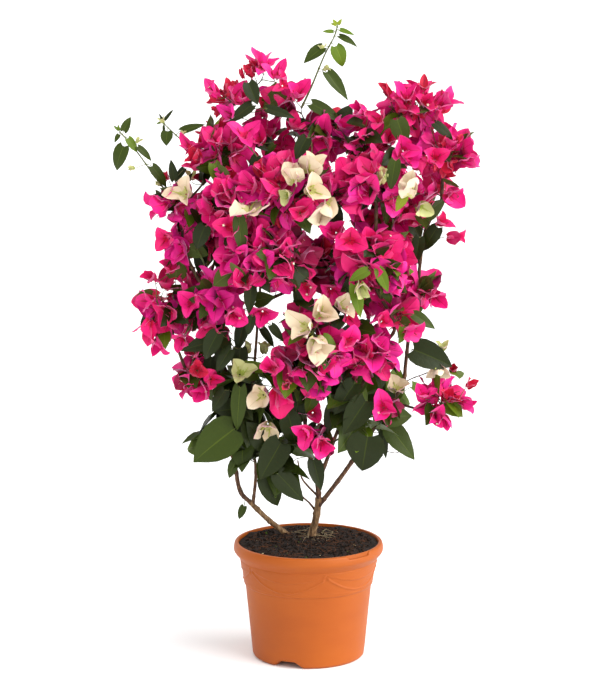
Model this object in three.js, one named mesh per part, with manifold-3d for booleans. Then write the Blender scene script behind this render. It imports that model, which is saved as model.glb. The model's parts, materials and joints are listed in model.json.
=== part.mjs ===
// A bougainvillea bush in its round pot.
// Millimetres, +Z up.  The origin is the middle of the pot's flat underside and
// the front of the bush faces -Y.
import * as THREE from 'three';
import { mergeVertices } from 'three/addons/utils/BufferGeometryUtils.js';
import Module from 'manifold-3d';

const wasm = await Module();
wasm.setup();

// ---------------------------------------------------------------- driving sizes
const gap = 0.35; // clear space kept between neighbouring solids

// pot
const potHeight = 164;
const rimRadius = 105;
const rimInnerRadius = 98.3;
const rimDepth = 23.5; // how far the rolled rim comes down the wall
const collarFoot = 104.5; // height of the small step under the decorated collar
const collarTopRadius = 95.4;
const collarFootRadius = 90.3;
const wallTopRadius = 88.5;
const footRadius = 78.5;
const footChamfer = 3.4;
const wallThickness = 2.4;
const floorTop = 9.5;
const underFloor = 6.5; // height of the recess between the foot ring and the centre pad
const centrePadRadius = 22;
const footRingWidth = 11;
const potSides = 34;

// openings cut in the pot
const notchCount = 3;
const notchTurn = -112.4; // degrees from +X to the first foot notch
const notchFootWidth = 46;
const notchTopWidth = 21;
const notchHeight = 8.4;
const drainCount = 6;
const drainRadius = 6;
const drainCircle = 45;
const slotTurns = [-47.5, 132.5]; // degrees from +X to the middle of each rim slot
const slotWidth = 43;
const slotLip = 2.4; // thickness of the lip left standing inside each slot
const slotBottom = 159.2;

// potting compost
const compostTop = 161.4;
const compostFlatRadius = 80;
const compostEdge = 160.2;

// limbs
const limbSides = 6;
const ringSpacing = 30;
const rootFlare = 1.6; // how much wider a stem is at the compost than just above it
const flareLength = 9;

// ---------------------------------------------------------------- colours
const colours = {
  terracotta: 0xd9722e,
  compost: 0x2e1f16,
  bark: 0x7a6247,
  greenBark: 0x4f6a2a,
  bract: 0xdd1f84,
  leaf: 0x33551f,
};

function finish(colour, roughness) {
  return new THREE.MeshStandardMaterial({ color: colour, roughness, metalness: 0 });
}

// ---------------------------------------------------------------- solids
function weld(geometry) {
  geometry.deleteAttribute('normal');
  geometry.deleteAttribute('uv');
  const welded = mergeVertices(geometry, 1e-3);
  const corners = welded.index.array;
  const kept = [];
  for (let i = 0; i < corners.length; i += 3) {
    const [a, b, c] = [corners[i], corners[i + 1], corners[i + 2]];
    if (a !== b && b !== c && c !== a) kept.push(a, b, c);
  }
  welded.setIndex(kept);
  return welded;
}

function toSolid(geometry) {
  const welded = weld(geometry);
  const vertProperties = new Float32Array(welded.attributes.position.array);
  const triVerts = new Uint32Array(welded.index.array);
  return new wasm.Manifold(new wasm.Mesh({ numProp: 3, vertProperties, triVerts }));
}

function toMesh(name, solid, at, material) {
  const { vertProperties, triVerts } = solid.getMesh();
  const geometry = new THREE.BufferGeometry();
  geometry.setAttribute('position', new THREE.BufferAttribute(vertProperties, 3));
  geometry.setIndex(new THREE.BufferAttribute(triVerts, 1));
  geometry.translate(-at[0], -at[1], -at[2]);
  geometry.computeVertexNormals();
  const mesh = new THREE.Mesh(geometry, material);
  mesh.name = name;
  mesh.position.set(...at);
  return mesh;
}

// A profile of [radius, height] pairs turned about the Z axis.
function turned(profile) {
  const points = profile.map(([radius, height]) => new THREE.Vector2(radius, height));
  const shape = new THREE.LatheGeometry(points, potSides);
  shape.rotateX(Math.PI / 2);
  return shape;
}

function placed(geometry, turnDegrees) {
  return geometry.rotateZ(THREE.MathUtils.degToRad(turnDegrees));
}

// ---------------------------------------------------------------- pot
function potProfile() {
  const rimFoot = potHeight - rimDepth;
  const ringInner = footRadius - footRingWidth;
  const outside = [
    [0, 0],
    [centrePadRadius, 0],
    [centrePadRadius + 2, underFloor],
    [ringInner - 2, underFloor],
    [ringInner, 0],
    [footRadius - footChamfer, 0],
    [footRadius, footChamfer],
    [wallTopRadius, collarFoot - 1],
    [collarFootRadius, collarFoot + 0.8],
    [collarTopRadius, rimFoot],
  ];
  const rim = [
    [rimRadius - 0.6, rimFoot + 10.5],
    [rimRadius, rimFoot + 15.5],
    [rimRadius - 1.6, potHeight - 1.2],
    [rimRadius - 3.5, potHeight],
    [rimInnerRadius, potHeight],
  ];
  const inside = [
    [rimInnerRadius - 0.8, rimFoot + 6],
    [collarTopRadius - wallThickness, rimFoot],
    [wallTopRadius - wallThickness, collarFoot - 1],
    [footRadius - wallThickness, floorTop],
    [0, floorTop],
  ];
  return [...outside, ...rim, ...inside];
}

function footNotch() {
  const outline = new THREE.Shape();
  outline.moveTo(-notchFootWidth / 2, -1);
  outline.lineTo(notchFootWidth / 2, -1);
  outline.lineTo(notchTopWidth / 2, notchHeight);
  outline.lineTo(-notchTopWidth / 2, notchHeight);
  outline.closePath();
  const reach = footRingWidth + 8;
  const cut = new THREE.ExtrudeGeometry(outline, { depth: reach, bevelEnabled: false });
  cut.rotateX(Math.PI / 2);
  cut.rotateZ(Math.PI / 2);
  return cut.translate(footRadius - footRingWidth - 3, 0, 0);
}

function rimSlot() {
  const height = potHeight + 2 - slotBottom;
  const inner = rimInnerRadius + slotLip;
  const depth = rimRadius + 2 - inner;
  const cut = new THREE.BoxGeometry(depth, slotWidth, height);
  return cut.translate(inner + depth / 2, 0, slotBottom + height / 2);
}

function makePot() {
  let body = toSolid(turned(potProfile()));
  for (let i = 0; i < notchCount; i += 1) {
    body = body.subtract(toSolid(placed(footNotch(), notchTurn + (i * 360) / notchCount)));
  }
  for (let i = 0; i < drainCount; i += 1) {
    const drain = new THREE.CylinderGeometry(drainRadius, drainRadius, 3 * floorTop, 10);
    drain.rotateX(Math.PI / 2);
    drain.translate(drainCircle, 0, 0);
    body = body.subtract(toSolid(placed(drain, 30 + (i * 360) / drainCount)));
  }
  for (const turn of slotTurns) {
    body = body.subtract(toSolid(placed(rimSlot(), turn)));
  }
  return toMesh('pot', body, [0, 0, 0], finish(colours.terracotta, 0.45));
}

function makeCompost() {
  const rimFoot = potHeight - rimDepth;
  const profile = [
    [0, floorTop + gap],
    [footRadius - wallThickness - gap, floorTop + gap],
    [wallTopRadius - wallThickness - gap, collarFoot - 1],
    [collarTopRadius - wallThickness - gap, rimFoot],
    [rimInnerRadius - 1.2 - gap, rimFoot + 7],
    [rimInnerRadius - 1.2 - gap, compostEdge],
    [(compostFlatRadius + rimInnerRadius) / 2, (compostEdge + compostTop) / 2 + 0.8],
    [compostFlatRadius, compostTop],
    [0, compostTop],
  ];
  const body = toSolid(turned(profile));
  return toMesh('compost', body, [0, 0, 0], finish(colours.compost, 0.95));
}

// ---------------------------------------------------------------- foliage masses
// Each mass: its middle, its half sizes along X, Y and Z, and its tint where
// leaves lead instead of bracts.
const masses = {
  crest_tip: { at: [-62, 4, 827], half: [33, 30, 26] },
  crest_left: { at: [-104, 4, 781], half: [40, 38, 31] },
  crest_inner: { at: [-28, 10, 781], half: [27, 38, 37] },
  crest_middle: { at: [21, 8, 734], half: [45, 52, 41] },
  crest_saddle: { at: [71, -12, 735], half: [41, 46, 50] },
  crest_right: { at: [143, 0, 771], half: [60, 52, 42] },
  left_shoulder: { at: [-116, 0, 713], half: [56, 54, 44] },
  right_shoulder: { at: [187, -4, 711], half: [54, 52, 46] },
  right_edge: { at: [183, 0, 664], half: [34, 36, 30] },
  upper_front: { at: [-25, -72, 669], half: [67, 66, 56] },
  left_front: { at: [-101, -58, 646], half: [56, 56, 54] },
  right_front: { at: [88, -70, 672], half: [61, 66, 56] },
  left_flank: { at: [-174, -14, 639], half: [46, 44, 35] },
  left_flank_low: { at: [-168, -20, 586], half: [37, 44, 34] },
  right_flank: { at: [162, -4, 615], half: [38, 34, 30] },
  middle_front: { at: [-55, -74, 575], half: [75, 66, 55] },
  middle_right: { at: [88, -56, 567], half: [64, 60, 56] },
  left_wing: { at: [-191, -14, 504], half: [53, 46, 57] },
  left_wing_inner: { at: [-126, -46, 513], half: [42, 46, 44] },
  right_side: { at: [159, -6, 521], half: [33, 34, 34] },
  right_low_front: { at: [118, -40, 487], half: [40, 44, 35] },
  low_front: { at: [-1, -70, 445], half: [59, 60, 72] },
  low_right: { at: [77, -50, 439], half: [55, 48, 44] },
  low_left: { at: [-164, -12, 405], half: [37, 38, 41] },
  low_centre: { at: [18, -54, 328], half: [31, 34, 35] },
  low_right_tuft: { at: [105, -40, 362], half: [28, 30, 27] },
  low_right_wing: { at: [183, -4, 366], half: [46, 38, 39] },
  leaves_left: { at: [-137, -20, 312], half: [35, 34, 37], tint: 'leaf' },
  leaves_inner_left: { at: [-85, -14, 368], half: [46, 46, 71], tint: 'leaf' },
  leaves_centre: { at: [-44, -28, 282], half: [43, 40, 55], tint: 'leaf' },
  leaves_right: { at: [69, -40, 331], half: [42, 42, 55], tint: 'leaf' },
  leaves_right_outer: { at: [128, 10, 299], half: [25, 22, 27], tint: 'leaf' },
  leaves_outer_right: { at: [178, -4, 425], half: [30, 26, 26], tint: 'leaf' },
  upper_back: { at: [-12, 74, 652], half: [74, 66, 58] },
  right_back: { at: [116, 68, 626], half: [66, 62, 62] },
  left_back: { at: [-124, 64, 604], half: [62, 54, 56] },
  middle_back: { at: [-8, 72, 546], half: [76, 64, 50] },
  right_middle_back: { at: [110, 64, 504], half: [54, 54, 52] },
  left_wing_back: { at: [-150, 54, 492], half: [54, 48, 52] },
  leaves_back: { at: [26, 70, 404], half: [62, 60, 52], tint: 'leaf' },
  leaves_right_back: { at: [104, 64, 372], half: [52, 46, 48], tint: 'leaf' },
  leaves_left_back: { at: [-98, 60, 366], half: [48, 44, 52], tint: 'leaf' },
  top_shoot_leaves: { at: [38, 0, 866], half: [24, 22, 26], tint: 'leaf' },
  left_shoot_leaves: { at: [-247, 0, 722], half: [25, 24, 34], tint: 'leaf' },
  upper_left_shoot_leaves: { at: [-184, 2, 744], half: [22, 20, 18], tint: 'leaf' },
};
const smallMass = 112; // masses thinner than this get fewer faces
const lobeCount = 7;
const lobeHeight = 0.3;

function seededRandom(seed) {
  let state = seed >>> 0;
  return () => {
    state = (Math.imul(state, 1664525) + 1013904223) >>> 0;
    return state / 4294967296;
  };
}

// Seeded swellings that make each mass its own shape.
function massLobes(seed) {
  const random = seededRandom(seed * 7919 + 17);
  const lobes = [];
  for (let i = 0; i < lobeCount; i += 1) {
    const height = random() * 2 - 1;
    const around = random() * Math.PI * 2;
    const flat = Math.sqrt(1 - height * height);
    const axis = new THREE.Vector3(flat * Math.cos(around), flat * Math.sin(around), height);
    const swell = lobeHeight * (random() * 1.5 - 0.5);
    lobes.push({ axis, swell, sharpness: 3 + 5 * random() });
  }
  return lobes;
}

// A rounded, uneven lump that just touches the sides of its own box.
function massGeometry(name, grow = 0) {
  const { at, half } = masses[name];
  const lobes = massLobes(Object.keys(masses).indexOf(name) + 1);
  const detail = Math.min(...half) * 2 < smallMass ? 1 : 2;
  const shape = new THREE.IcosahedronGeometry(1, detail);
  const place = shape.attributes.position;
  const ray = new THREE.Vector3();
  for (let i = 0; i < place.count; i += 1) {
    ray.fromBufferAttribute(place, i).normalize();
    let reach = 1;
    for (const { axis, swell, sharpness } of lobes) {
      reach += swell * Math.max(0, ray.dot(axis)) ** sharpness;
    }
    place.setXYZ(i, ray.x * reach, ray.y * reach, ray.z * reach);
  }
  shape.computeBoundingBox();
  const middle = shape.boundingBox.getCenter(new THREE.Vector3());
  const size = shape.boundingBox.getSize(new THREE.Vector3());
  const stretch = half.map((side) => 2 * (side + grow));
  shape.translate(-middle.x, -middle.y, -middle.z);
  shape.scale(stretch[0] / size.x, stretch[1] / size.y, stretch[2] / size.z);
  return shape.translate(...at);
}

// ---------------------------------------------------------------- stems, boughs, shoots
// Each limb: the places it runs through, its radius at its foot and at its end,
// and the masses it ends in.  Masses that it only passes are cut round it.
const limbs = {
  main_stem: {
    through: [[4, 39, 150], [6, 37, 166], [11, 31, 190], [15, 26, 219]],
    radii: [5.5, 4.6],
    into: [],
    root: true,
  },
  leader: {
    through: [[15, 26, 214], [12, 23, 246], [3, 18, 279], [0, 14, 294], [-5, 8, 336], [-7, 2, 410]],
    radii: [3.9, 2.4],
    into: ['low_front', 'leaves_back'],
  },
  middle_bough: {
    through: [[13, 24, 236], [23, 20, 267], [45, 14, 328], [78, 2, 394], [86, -10, 430]],
    radii: [2.9, 2.1],
    into: ['low_right', 'leaves_right_back'],
  },
  right_bough: {
    through: [[15, 26, 208], [51, 24, 257], [92, 23, 320], [133, 20, 384]],
    radii: [3.3, 2.7],
    into: [],
  },
  right_bough_upper: {
    through: [[133, 20, 384], [139, 22, 446], [147, 8, 510]],
    radii: [2.7, 2.1],
    into: ['right_low_front', 'right_middle_back'],
  },
  left_stem: {
    through: [[-22, 51, 148], [-31, 47, 161], [-58, 36, 186], [-84, 29, 214]],
    radii: [4, 3.4],
    into: [],
    root: true,
  },
  left_bough: {
    through: [[-82, 29, 212], [-96, 27, 228], [-102, 24, 260], [-109, 20, 304], [-113, 12, 400]],
    radii: [3.1, 2.3],
    into: ['leaves_inner_left', 'leaves_left_back'],
  },
  left_inner_bough: {
    through: [[-78, 30, 208], [-74, 26, 262], [-82, 18, 318], [-76, 4, 400], [-66, -8, 530]],
    radii: [2.4, 1.7],
    into: ['middle_front', 'middle_back'],
  },
  top_shoot: {
    through: [[-10, 2, 770], [4, 0, 800], [20, 0, 843], [34, 0, 870]],
    radii: [1.7, 1.2],
    into: ['crest_inner', 'crest_middle', 'top_shoot_leaves'],
  },
  left_shoot: {
    through: [[-182, 0, 642], [-201, 0, 664], [-228, 0, 702], [-243, 0, 722]],
    radii: [1.6, 1.2],
    into: ['left_flank', 'left_shoot_leaves'],
  },
  upper_left_shoot: {
    through: [[-140, 0, 690], [-154, 0, 708], [-168, 0, 726], [-182, 0, 742], [-190, 0, 751]],
    radii: [1.5, 1.1],
    into: ['left_shoulder', 'upper_left_shoot_leaves'],
  },
};
const crumb = 20; // cubic millimetres, the size of the scraps that a cut may leave

function limbRadius({ radii, root }, along, length) {
  const straight = THREE.MathUtils.lerp(radii[0], radii[1], along);
  return root ? straight + rootFlare * Math.exp((-along * length) / flareLength) : straight;
}

function limbGeometry(limb, grow = 0) {
  const path = new THREE.CatmullRomCurve3(limb.through.map((at) => new THREE.Vector3(...at)));
  const length = path.getLength();
  const rings = Math.max(2, Math.round(length / ringSpacing));
  const frames = path.computeFrenetFrames(rings);
  const shape = new THREE.CylinderGeometry(1, 1, 1, limbSides, rings);
  const place = shape.attributes.position;
  const point = new THREE.Vector3();
  for (let i = 0; i < place.count; i += 1) {
    const ring = Math.round((place.getY(i) + 0.5) * rings);
    const radius = limbRadius(limb, ring / rings, length) + grow;
    path.getPointAt(ring / rings, point);
    if (ring === 0) point.addScaledVector(frames.tangents[0], -grow);
    if (ring === rings) point.addScaledVector(frames.tangents[rings], grow);
    point.addScaledVector(frames.normals[ring], radius * place.getX(i));
    point.addScaledVector(frames.binormals[ring], -radius * place.getZ(i));
    place.setXYZ(i, point.x, point.y, point.z);
  }
  return shape;
}

// The piece of a cut solid that is nearest to a place.
function nearestPiece(solid, [x, y, z]) {
  const start = new THREE.Vector3(x, y, z);
  const whole = solid.decompose().filter((piece) => piece.volume() > crumb);
  const pieces = whole.map((piece) => {
    const { min, max } = piece.boundingBox();
    const box = new THREE.Box3(new THREE.Vector3(...min), new THREE.Vector3(...max));
    return { piece, away: box.distanceToPoint(start) };
  });
  return pieces.sort((a, b) => a.away - b.away)[0].piece;
}

function makeLimbs() {
  const above = new THREE.BoxGeometry(800, 800, 800).translate(0, 0, compostTop + gap + 400);
  const aboveCompost = toSolid(above);
  const earlier = [];
  return Object.entries(limbs).map(([name, limb]) => {
    let solid = toSolid(limbGeometry(limb));
    if (limb.root) solid = solid.intersect(aboveCompost);
    for (const other of earlier) solid = solid.subtract(other);
    for (const mass of limb.into) solid = solid.subtract(toSolid(massGeometry(mass, gap)));
    earlier.push(toSolid(limbGeometry(limb, gap)));
    const colour = name.includes('shoot') ? colours.greenBark : colours.bark;
    const piece = nearestPiece(solid, limb.through[0]);
    return toMesh(name, piece, limb.through[0], finish(colour, 0.8));
  });
}

function near(a, b) {
  return a.at.every((middle, i) => Math.abs(middle - b.at[i]) < a.half[i] + b.half[i] + gap);
}

function makeMasses() {
  const names = Object.keys(masses);
  return names.map((name, i) => {
    let solid = toSolid(massGeometry(name));
    for (const other of names.slice(0, i)) {
      if (near(masses[name], masses[other])) {
        solid = solid.subtract(toSolid(massGeometry(other, gap)));
      }
    }
    for (const limb of Object.values(limbs)) {
      if (!limb.into.includes(name)) solid = solid.subtract(toSolid(limbGeometry(limb, gap)));
    }
    const colour = colours[masses[name].tint ?? 'bract'];
    const piece = nearestPiece(solid, masses[name].at);
    return toMesh(name, piece, masses[name].at, finish(colour, 0.7));
  });
}

// ---------------------------------------------------------------- the whole plant
const group = new THREE.Group();
const potGroup = new THREE.Group();
const plantGroup = new THREE.Group();
potGroup.add(makePot(), makeCompost());
plantGroup.add(...makeLimbs(), ...makeMasses());
group.add(potGroup, plantGroup);

export default group;
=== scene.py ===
import json
import math

import bpy
import numpy as np
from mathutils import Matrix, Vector

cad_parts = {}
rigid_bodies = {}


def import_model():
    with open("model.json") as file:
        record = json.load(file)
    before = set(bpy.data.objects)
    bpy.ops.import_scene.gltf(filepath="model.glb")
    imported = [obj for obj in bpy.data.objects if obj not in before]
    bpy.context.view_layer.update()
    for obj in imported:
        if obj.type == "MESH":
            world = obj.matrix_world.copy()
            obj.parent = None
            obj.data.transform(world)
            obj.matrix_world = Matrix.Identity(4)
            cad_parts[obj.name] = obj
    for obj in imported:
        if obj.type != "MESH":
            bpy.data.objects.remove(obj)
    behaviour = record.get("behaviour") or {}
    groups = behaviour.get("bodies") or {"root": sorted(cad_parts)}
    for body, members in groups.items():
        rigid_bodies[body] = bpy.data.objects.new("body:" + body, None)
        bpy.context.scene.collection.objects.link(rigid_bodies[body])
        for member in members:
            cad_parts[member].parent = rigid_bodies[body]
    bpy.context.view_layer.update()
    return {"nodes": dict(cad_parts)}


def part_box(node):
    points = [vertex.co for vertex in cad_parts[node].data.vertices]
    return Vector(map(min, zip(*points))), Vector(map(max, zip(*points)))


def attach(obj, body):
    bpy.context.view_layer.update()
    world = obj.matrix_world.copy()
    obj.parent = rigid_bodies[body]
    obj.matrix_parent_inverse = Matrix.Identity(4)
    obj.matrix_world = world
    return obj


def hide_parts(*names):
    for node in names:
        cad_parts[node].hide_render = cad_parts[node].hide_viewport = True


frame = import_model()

print("frame loaded:", len(frame["nodes"]), "nodes")

# Metres, +Z up, the front of the bush faces -Y.
up = np.array([0.0, 0.0, 1.0])


def unit(rows):
    rows = np.asarray(rows, float)
    return rows / np.maximum(np.linalg.norm(rows, axis=-1, keepdims=True), 1e-9)


def paint(red, green, blue):
    # screen colour 0-255 to the linear numbers a shader wants
    shares = np.array([red, green, blue]) / 255
    return tuple(np.where(shares < 0.04045, shares / 12.92, ((shares + 0.055) / 1.055) ** 2.4))


def grain(points, seed, size, waves=14):
    # smooth seeded unevenness from -1 to 1, about `size` from bump to bump
    random = np.random.default_rng(seed)
    directions = unit(random.normal(size=(waves, 3))) * random.uniform(0.6, 1.5, (waves, 1))
    phases = random.uniform(0, 2 * math.pi, waves)
    total = np.sin(points @ directions.T * (2 * math.pi / size) + phases).sum(-1)
    return total / waves ** 0.5 * 0.8


def nodeBox(name):
    low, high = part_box(name)
    return np.array(low), np.array(high)


def boxPlace(name, shares):
    # a place in a node's box, each share from 0 to 1 along X, Y and Z
    low, high = nodeBox(name)
    return low + (high - low) * np.array(shares)


def makePiece(name, points, faceGroups, finishes, finishOf=None, smooth=True):
    # faceGroups: arrays of faces with three or four corners each
    points = np.ascontiguousarray(points, np.float32).reshape(-1, 3)
    groups = [np.asarray(group, np.int32) for group in faceGroups if len(group)]
    corners = np.concatenate([group.ravel() for group in groups])
    sides = np.concatenate([np.full(len(group), group.shape[1]) for group in groups])
    starts = np.concatenate([[0], np.cumsum(sides)[:-1]]).astype(np.int32)
    mesh = bpy.data.meshes.new(name)
    mesh.vertices.add(len(points))
    mesh.vertices.foreach_set("co", points.ravel())
    mesh.loops.add(len(corners))
    mesh.loops.foreach_set("vertex_index", corners)
    mesh.polygons.add(len(sides))
    mesh.polygons.foreach_set("loop_start", starts)
    if finishOf is not None:
        mesh.polygons.foreach_set("material_index", np.asarray(finishOf, np.int32))
    mesh.polygons.foreach_set("use_smooth", np.full(len(sides), smooth))
    mesh.update(calc_edges=True)
    mesh.validate()
    piece = bpy.data.objects.new(name, mesh)
    bpy.context.scene.collection.objects.link(piece)
    for finish in finishes:
        mesh.materials.append(finish)
    return piece


def shaderOf(finish):
    return finish.node_tree.nodes["Principled BSDF"]


def newFinish(name, colour, roughness, shine=0.5):
    finish = bpy.data.materials.new(name)
    finish.use_nodes = True
    inputs = shaderOf(finish).inputs
    inputs["Base Color"].default_value = (*colour, 1)
    inputs["Roughness"].default_value = roughness
    inputs["Specular IOR Level"].default_value = shine
    return finish


def addNode(finish, kind, inputs):
    node = finish.node_tree.nodes.new(kind)
    for name, value in inputs.items():
        node.inputs[name].default_value = value
    return node


def join(finish, source, target):
    finish.node_tree.links.new(source, target)


def objectCoordinates(finish, stretch):
    coordinates = addNode(finish, "ShaderNodeTexCoord", {})
    mapping = addNode(finish, "ShaderNodeMapping", {"Scale": stretch})
    join(finish, coordinates.outputs["Object"], mapping.inputs["Vector"])
    return mapping.outputs["Vector"]


def roughen(finish, size, depth, strength=0.5, stretch=(1, 1, 1), roughRange=None):
    # fine bumps `size` metres across, and if wanted a roughness that varies with them
    shader = shaderOf(finish)
    texture = addNode(finish, "ShaderNodeTexNoise", {"Scale": 1 / size, "Detail": 5.0, "Roughness": 0.6})
    join(finish, objectCoordinates(finish, stretch), texture.inputs["Vector"])
    bump = addNode(finish, "ShaderNodeBump", {"Strength": strength, "Distance": depth})
    join(finish, texture.outputs["Fac"], bump.inputs["Height"])
    join(finish, bump.outputs["Normal"], shader.inputs["Normal"])
    if roughRange:
        spread = addNode(finish, "ShaderNodeMapRange", {"To Min": roughRange[0], "To Max": roughRange[1]})
        join(finish, texture.outputs["Fac"], spread.inputs["Value"])
        join(finish, spread.outputs["Result"], shader.inputs["Roughness"])
    return texture


def blendColours(finish, factor, stops):
    # the finish's colour runs through the stops, (place, linear colour), along the factor
    ramp = addNode(finish, "ShaderNodeValToRGB", {})
    elements = ramp.color_ramp.elements
    while len(elements) < len(stops):
        elements.new(0.5)
    for element, (place, colour) in zip(elements, stops):
        element.position = place
        element.color = (*colour, 1)
    join(finish, factor, ramp.inputs["Fac"])
    join(finish, ramp.outputs["Color"], shaderOf(finish).inputs["Base Color"])


def frames(along, facing):
    # columns: side, along, facing
    along = unit(along)
    side = np.cross(along, facing)
    lost = np.linalg.norm(side, axis=-1) < 1e-4
    side[lost] = np.cross(along[lost], np.array([0.31, 0.52, 0.79]))
    side = unit(side)
    return np.stack([side, along, np.cross(side, along)], axis=-1)


def lengthAlong(line):
    # how far along the line each of its points lies
    return np.concatenate([[0], np.cumsum(np.linalg.norm(np.diff(line, axis=0), axis=1))])


def catmull(corners, step):
    # a smooth line through the corners, cut into even steps
    corners = np.asarray(corners, float)
    padded = np.vstack([2 * corners[0] - corners[1], corners, 2 * corners[-1] - corners[-2]])
    line = []
    for i in range(len(corners) - 1):
        a, b, c, d = padded[i:i + 4]
        t = np.linspace(0, 1, 40, endpoint=False)[:, None]
        line.append(0.5 * (2 * b + (c - a) * t + (2 * a - 5 * b + 4 * c - d) * t ** 2
                           + (3 * b - a - 3 * c + d) * t ** 3))
    line = np.vstack([*line, corners[-1:]])
    gone = lengthAlong(line)
    count = max(2, int(round(gone[-1] / step)) + 1)
    even = np.linspace(0, gone[-1], count)
    return np.stack([np.interp(even, gone, line[:, k]) for k in range(3)], axis=1)


def bentLine(start, end, startWay, endWay, count):
    # leaves start along startWay and arrives along endWay
    t = np.linspace(0, 1, count)[:, None]
    reach = np.linalg.norm(end - start)
    a, b = unit(startWay) * reach, unit(endWay) * reach
    return ((2 * t ** 3 - 3 * t ** 2 + 1) * start + (t ** 3 - 2 * t ** 2 + t) * a
            + (3 * t ** 2 - 2 * t ** 3) * end + (t ** 3 - t ** 2) * b)


def wrapFaces(rows, columns, inward=False):
    # quads between closed rings of points, and a fan round one more point at each end
    k = np.arange(columns)
    after = (k + 1) % columns
    r = (np.arange(rows - 1) * columns)[:, None]
    quads = np.stack([r + k, r + after, r + columns + after, r + columns + k], -1).reshape(-1, 4)
    last, count = (rows - 1) * columns, rows * columns
    fans = np.concatenate([
        np.stack([np.full(columns, count), after, k], -1),
        np.stack([np.full(columns, count + 1), last + k, last + after], -1),
    ])
    return (quads[:, [0, 3, 2, 1]], fans[:, [0, 2, 1]]) if inward else (quads, fans)


def tubes(lines, radii, sides):
    # lines (n, rings, 3) and radii (n, rings) to points and faces, both ends closed
    lines, radii = np.asarray(lines, float), np.asarray(radii, float)
    count, rings = radii.shape
    ways = unit(np.gradient(lines, axis=1))
    lean = np.where(np.abs(ways[:, :1, 2:]) > 0.9, [[[1.0, 0, 0]]], [[[0, 0, 1.0]]])
    across = unit(np.cross(ways, np.broadcast_to(lean, ways.shape)))
    other = np.cross(ways, across)
    turns = np.arange(sides) * 2 * math.pi / sides
    ring = (across[:, :, None] * np.cos(turns)[:, None] + other[:, :, None] * np.sin(turns)[:, None])
    points = lines[:, :, None] + ring * radii[:, :, None, None]
    tips = np.stack([lines[:, 0], lines[:, -1]], axis=1)
    points = np.concatenate([points.reshape(count, -1, 3), tips], axis=1)
    quads, fans = wrapFaces(rings, sides)
    offsets = (np.arange(count) * (rings * sides + 2))[:, None, None]
    return points.reshape(-1, 3), (quads + offsets).reshape(-1, 4), (fans + offsets).reshape(-1, 3)


class Heap:
    # gathers points and faces for one joined piece
    def __init__(self):
        self.points, self.count = [], 0
        self.faces, self.finishOf = {4: [], 3: []}, {4: [], 3: []}

    def add(self, points, quads=(), triangles=(), finish=0, triangleFinish=None):
        if triangleFinish is None:
            triangleFinish = finish
        for faces, corners, tint in ((quads, 4, finish), (triangles, 3, triangleFinish)):
            if len(faces):
                self.faces[corners].append(np.asarray(faces) + self.count)
                self.finishOf[corners].append(np.broadcast_to(tint, len(faces)))
        self.points.append(points)
        self.count += len(points)

    def make(self, name, finishes, smooth=True):
        groups = [np.concatenate(part) for part in self.faces.values() if part]
        finishOf = np.concatenate([*self.finishOf[4], *self.finishOf[3]])
        return makePiece(name, np.concatenate(self.points), groups, finishes, finishOf, smooth)


view = {
    "place": (-0.0118, -3.5, 1.069),
    "downward": 10.07,  # degrees below level
    "lens": 135.4,
}


def makeCamera():
    data = bpy.data.cameras.new("camera")
    data.lens = view["lens"]
    data.clip_end = 200
    camera = bpy.data.objects.new("camera", data)
    camera.location = view["place"]
    camera.rotation_euler = (math.radians(90 - view["downward"]), 0, 0)
    bpy.context.scene.collection.objects.link(camera)
    bpy.context.scene.camera = camera


studio = {
    "floorSize": 60,
    "floorColour": (0.97, 0.97, 0.97),
    "sky": 0.64,
    # name: (where it shines from, strength, softness in degrees)
    "suns": {
        "keyRight": ((2.6, -1.0, 1.8), 4.2, 66),
        "frontLeft": ((-0.3, -2.2, 1.9), 0.9, 80),
        "backLeft": ((-1.5, 2.2, 1.4), 0.9, 70),
    },
}


def makeStudio():
    side = studio["floorSize"]
    corners = [(-side, -side, 0), (side, -side, 0), (side, side, 0), (-side, side, 0)]
    finish = newFinish("floorPaper", studio["floorColour"], 0.95, 0.2)
    floor = makePiece("floor", corners, [[[0, 1, 2, 3]]], [finish], smooth=False)
    world = bpy.data.worlds.new("studioSky")
    world.use_nodes = True
    sky = world.node_tree.nodes["Background"]
    sky.inputs["Color"].default_value = (1, 1, 1, 1)
    sky.inputs["Strength"].default_value = studio["sky"]
    bpy.context.scene.world = world
    for name, (place, strength, softness) in studio["suns"].items():
        data = bpy.data.lights.new(name, "SUN")
        data.energy = strength
        data.angle = math.radians(softness)
        lamp = bpy.data.objects.new(name, data)
        lamp.location = place
        lamp.rotation_euler = Vector(place).to_track_quat("Z", "Y").to_euler()
        bpy.context.scene.collection.objects.link(lamp)
    bpy.context.scene.view_settings.view_transform = "Standard"


makeCamera()
makeStudio()
print("camera, floor and lights made")


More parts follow.
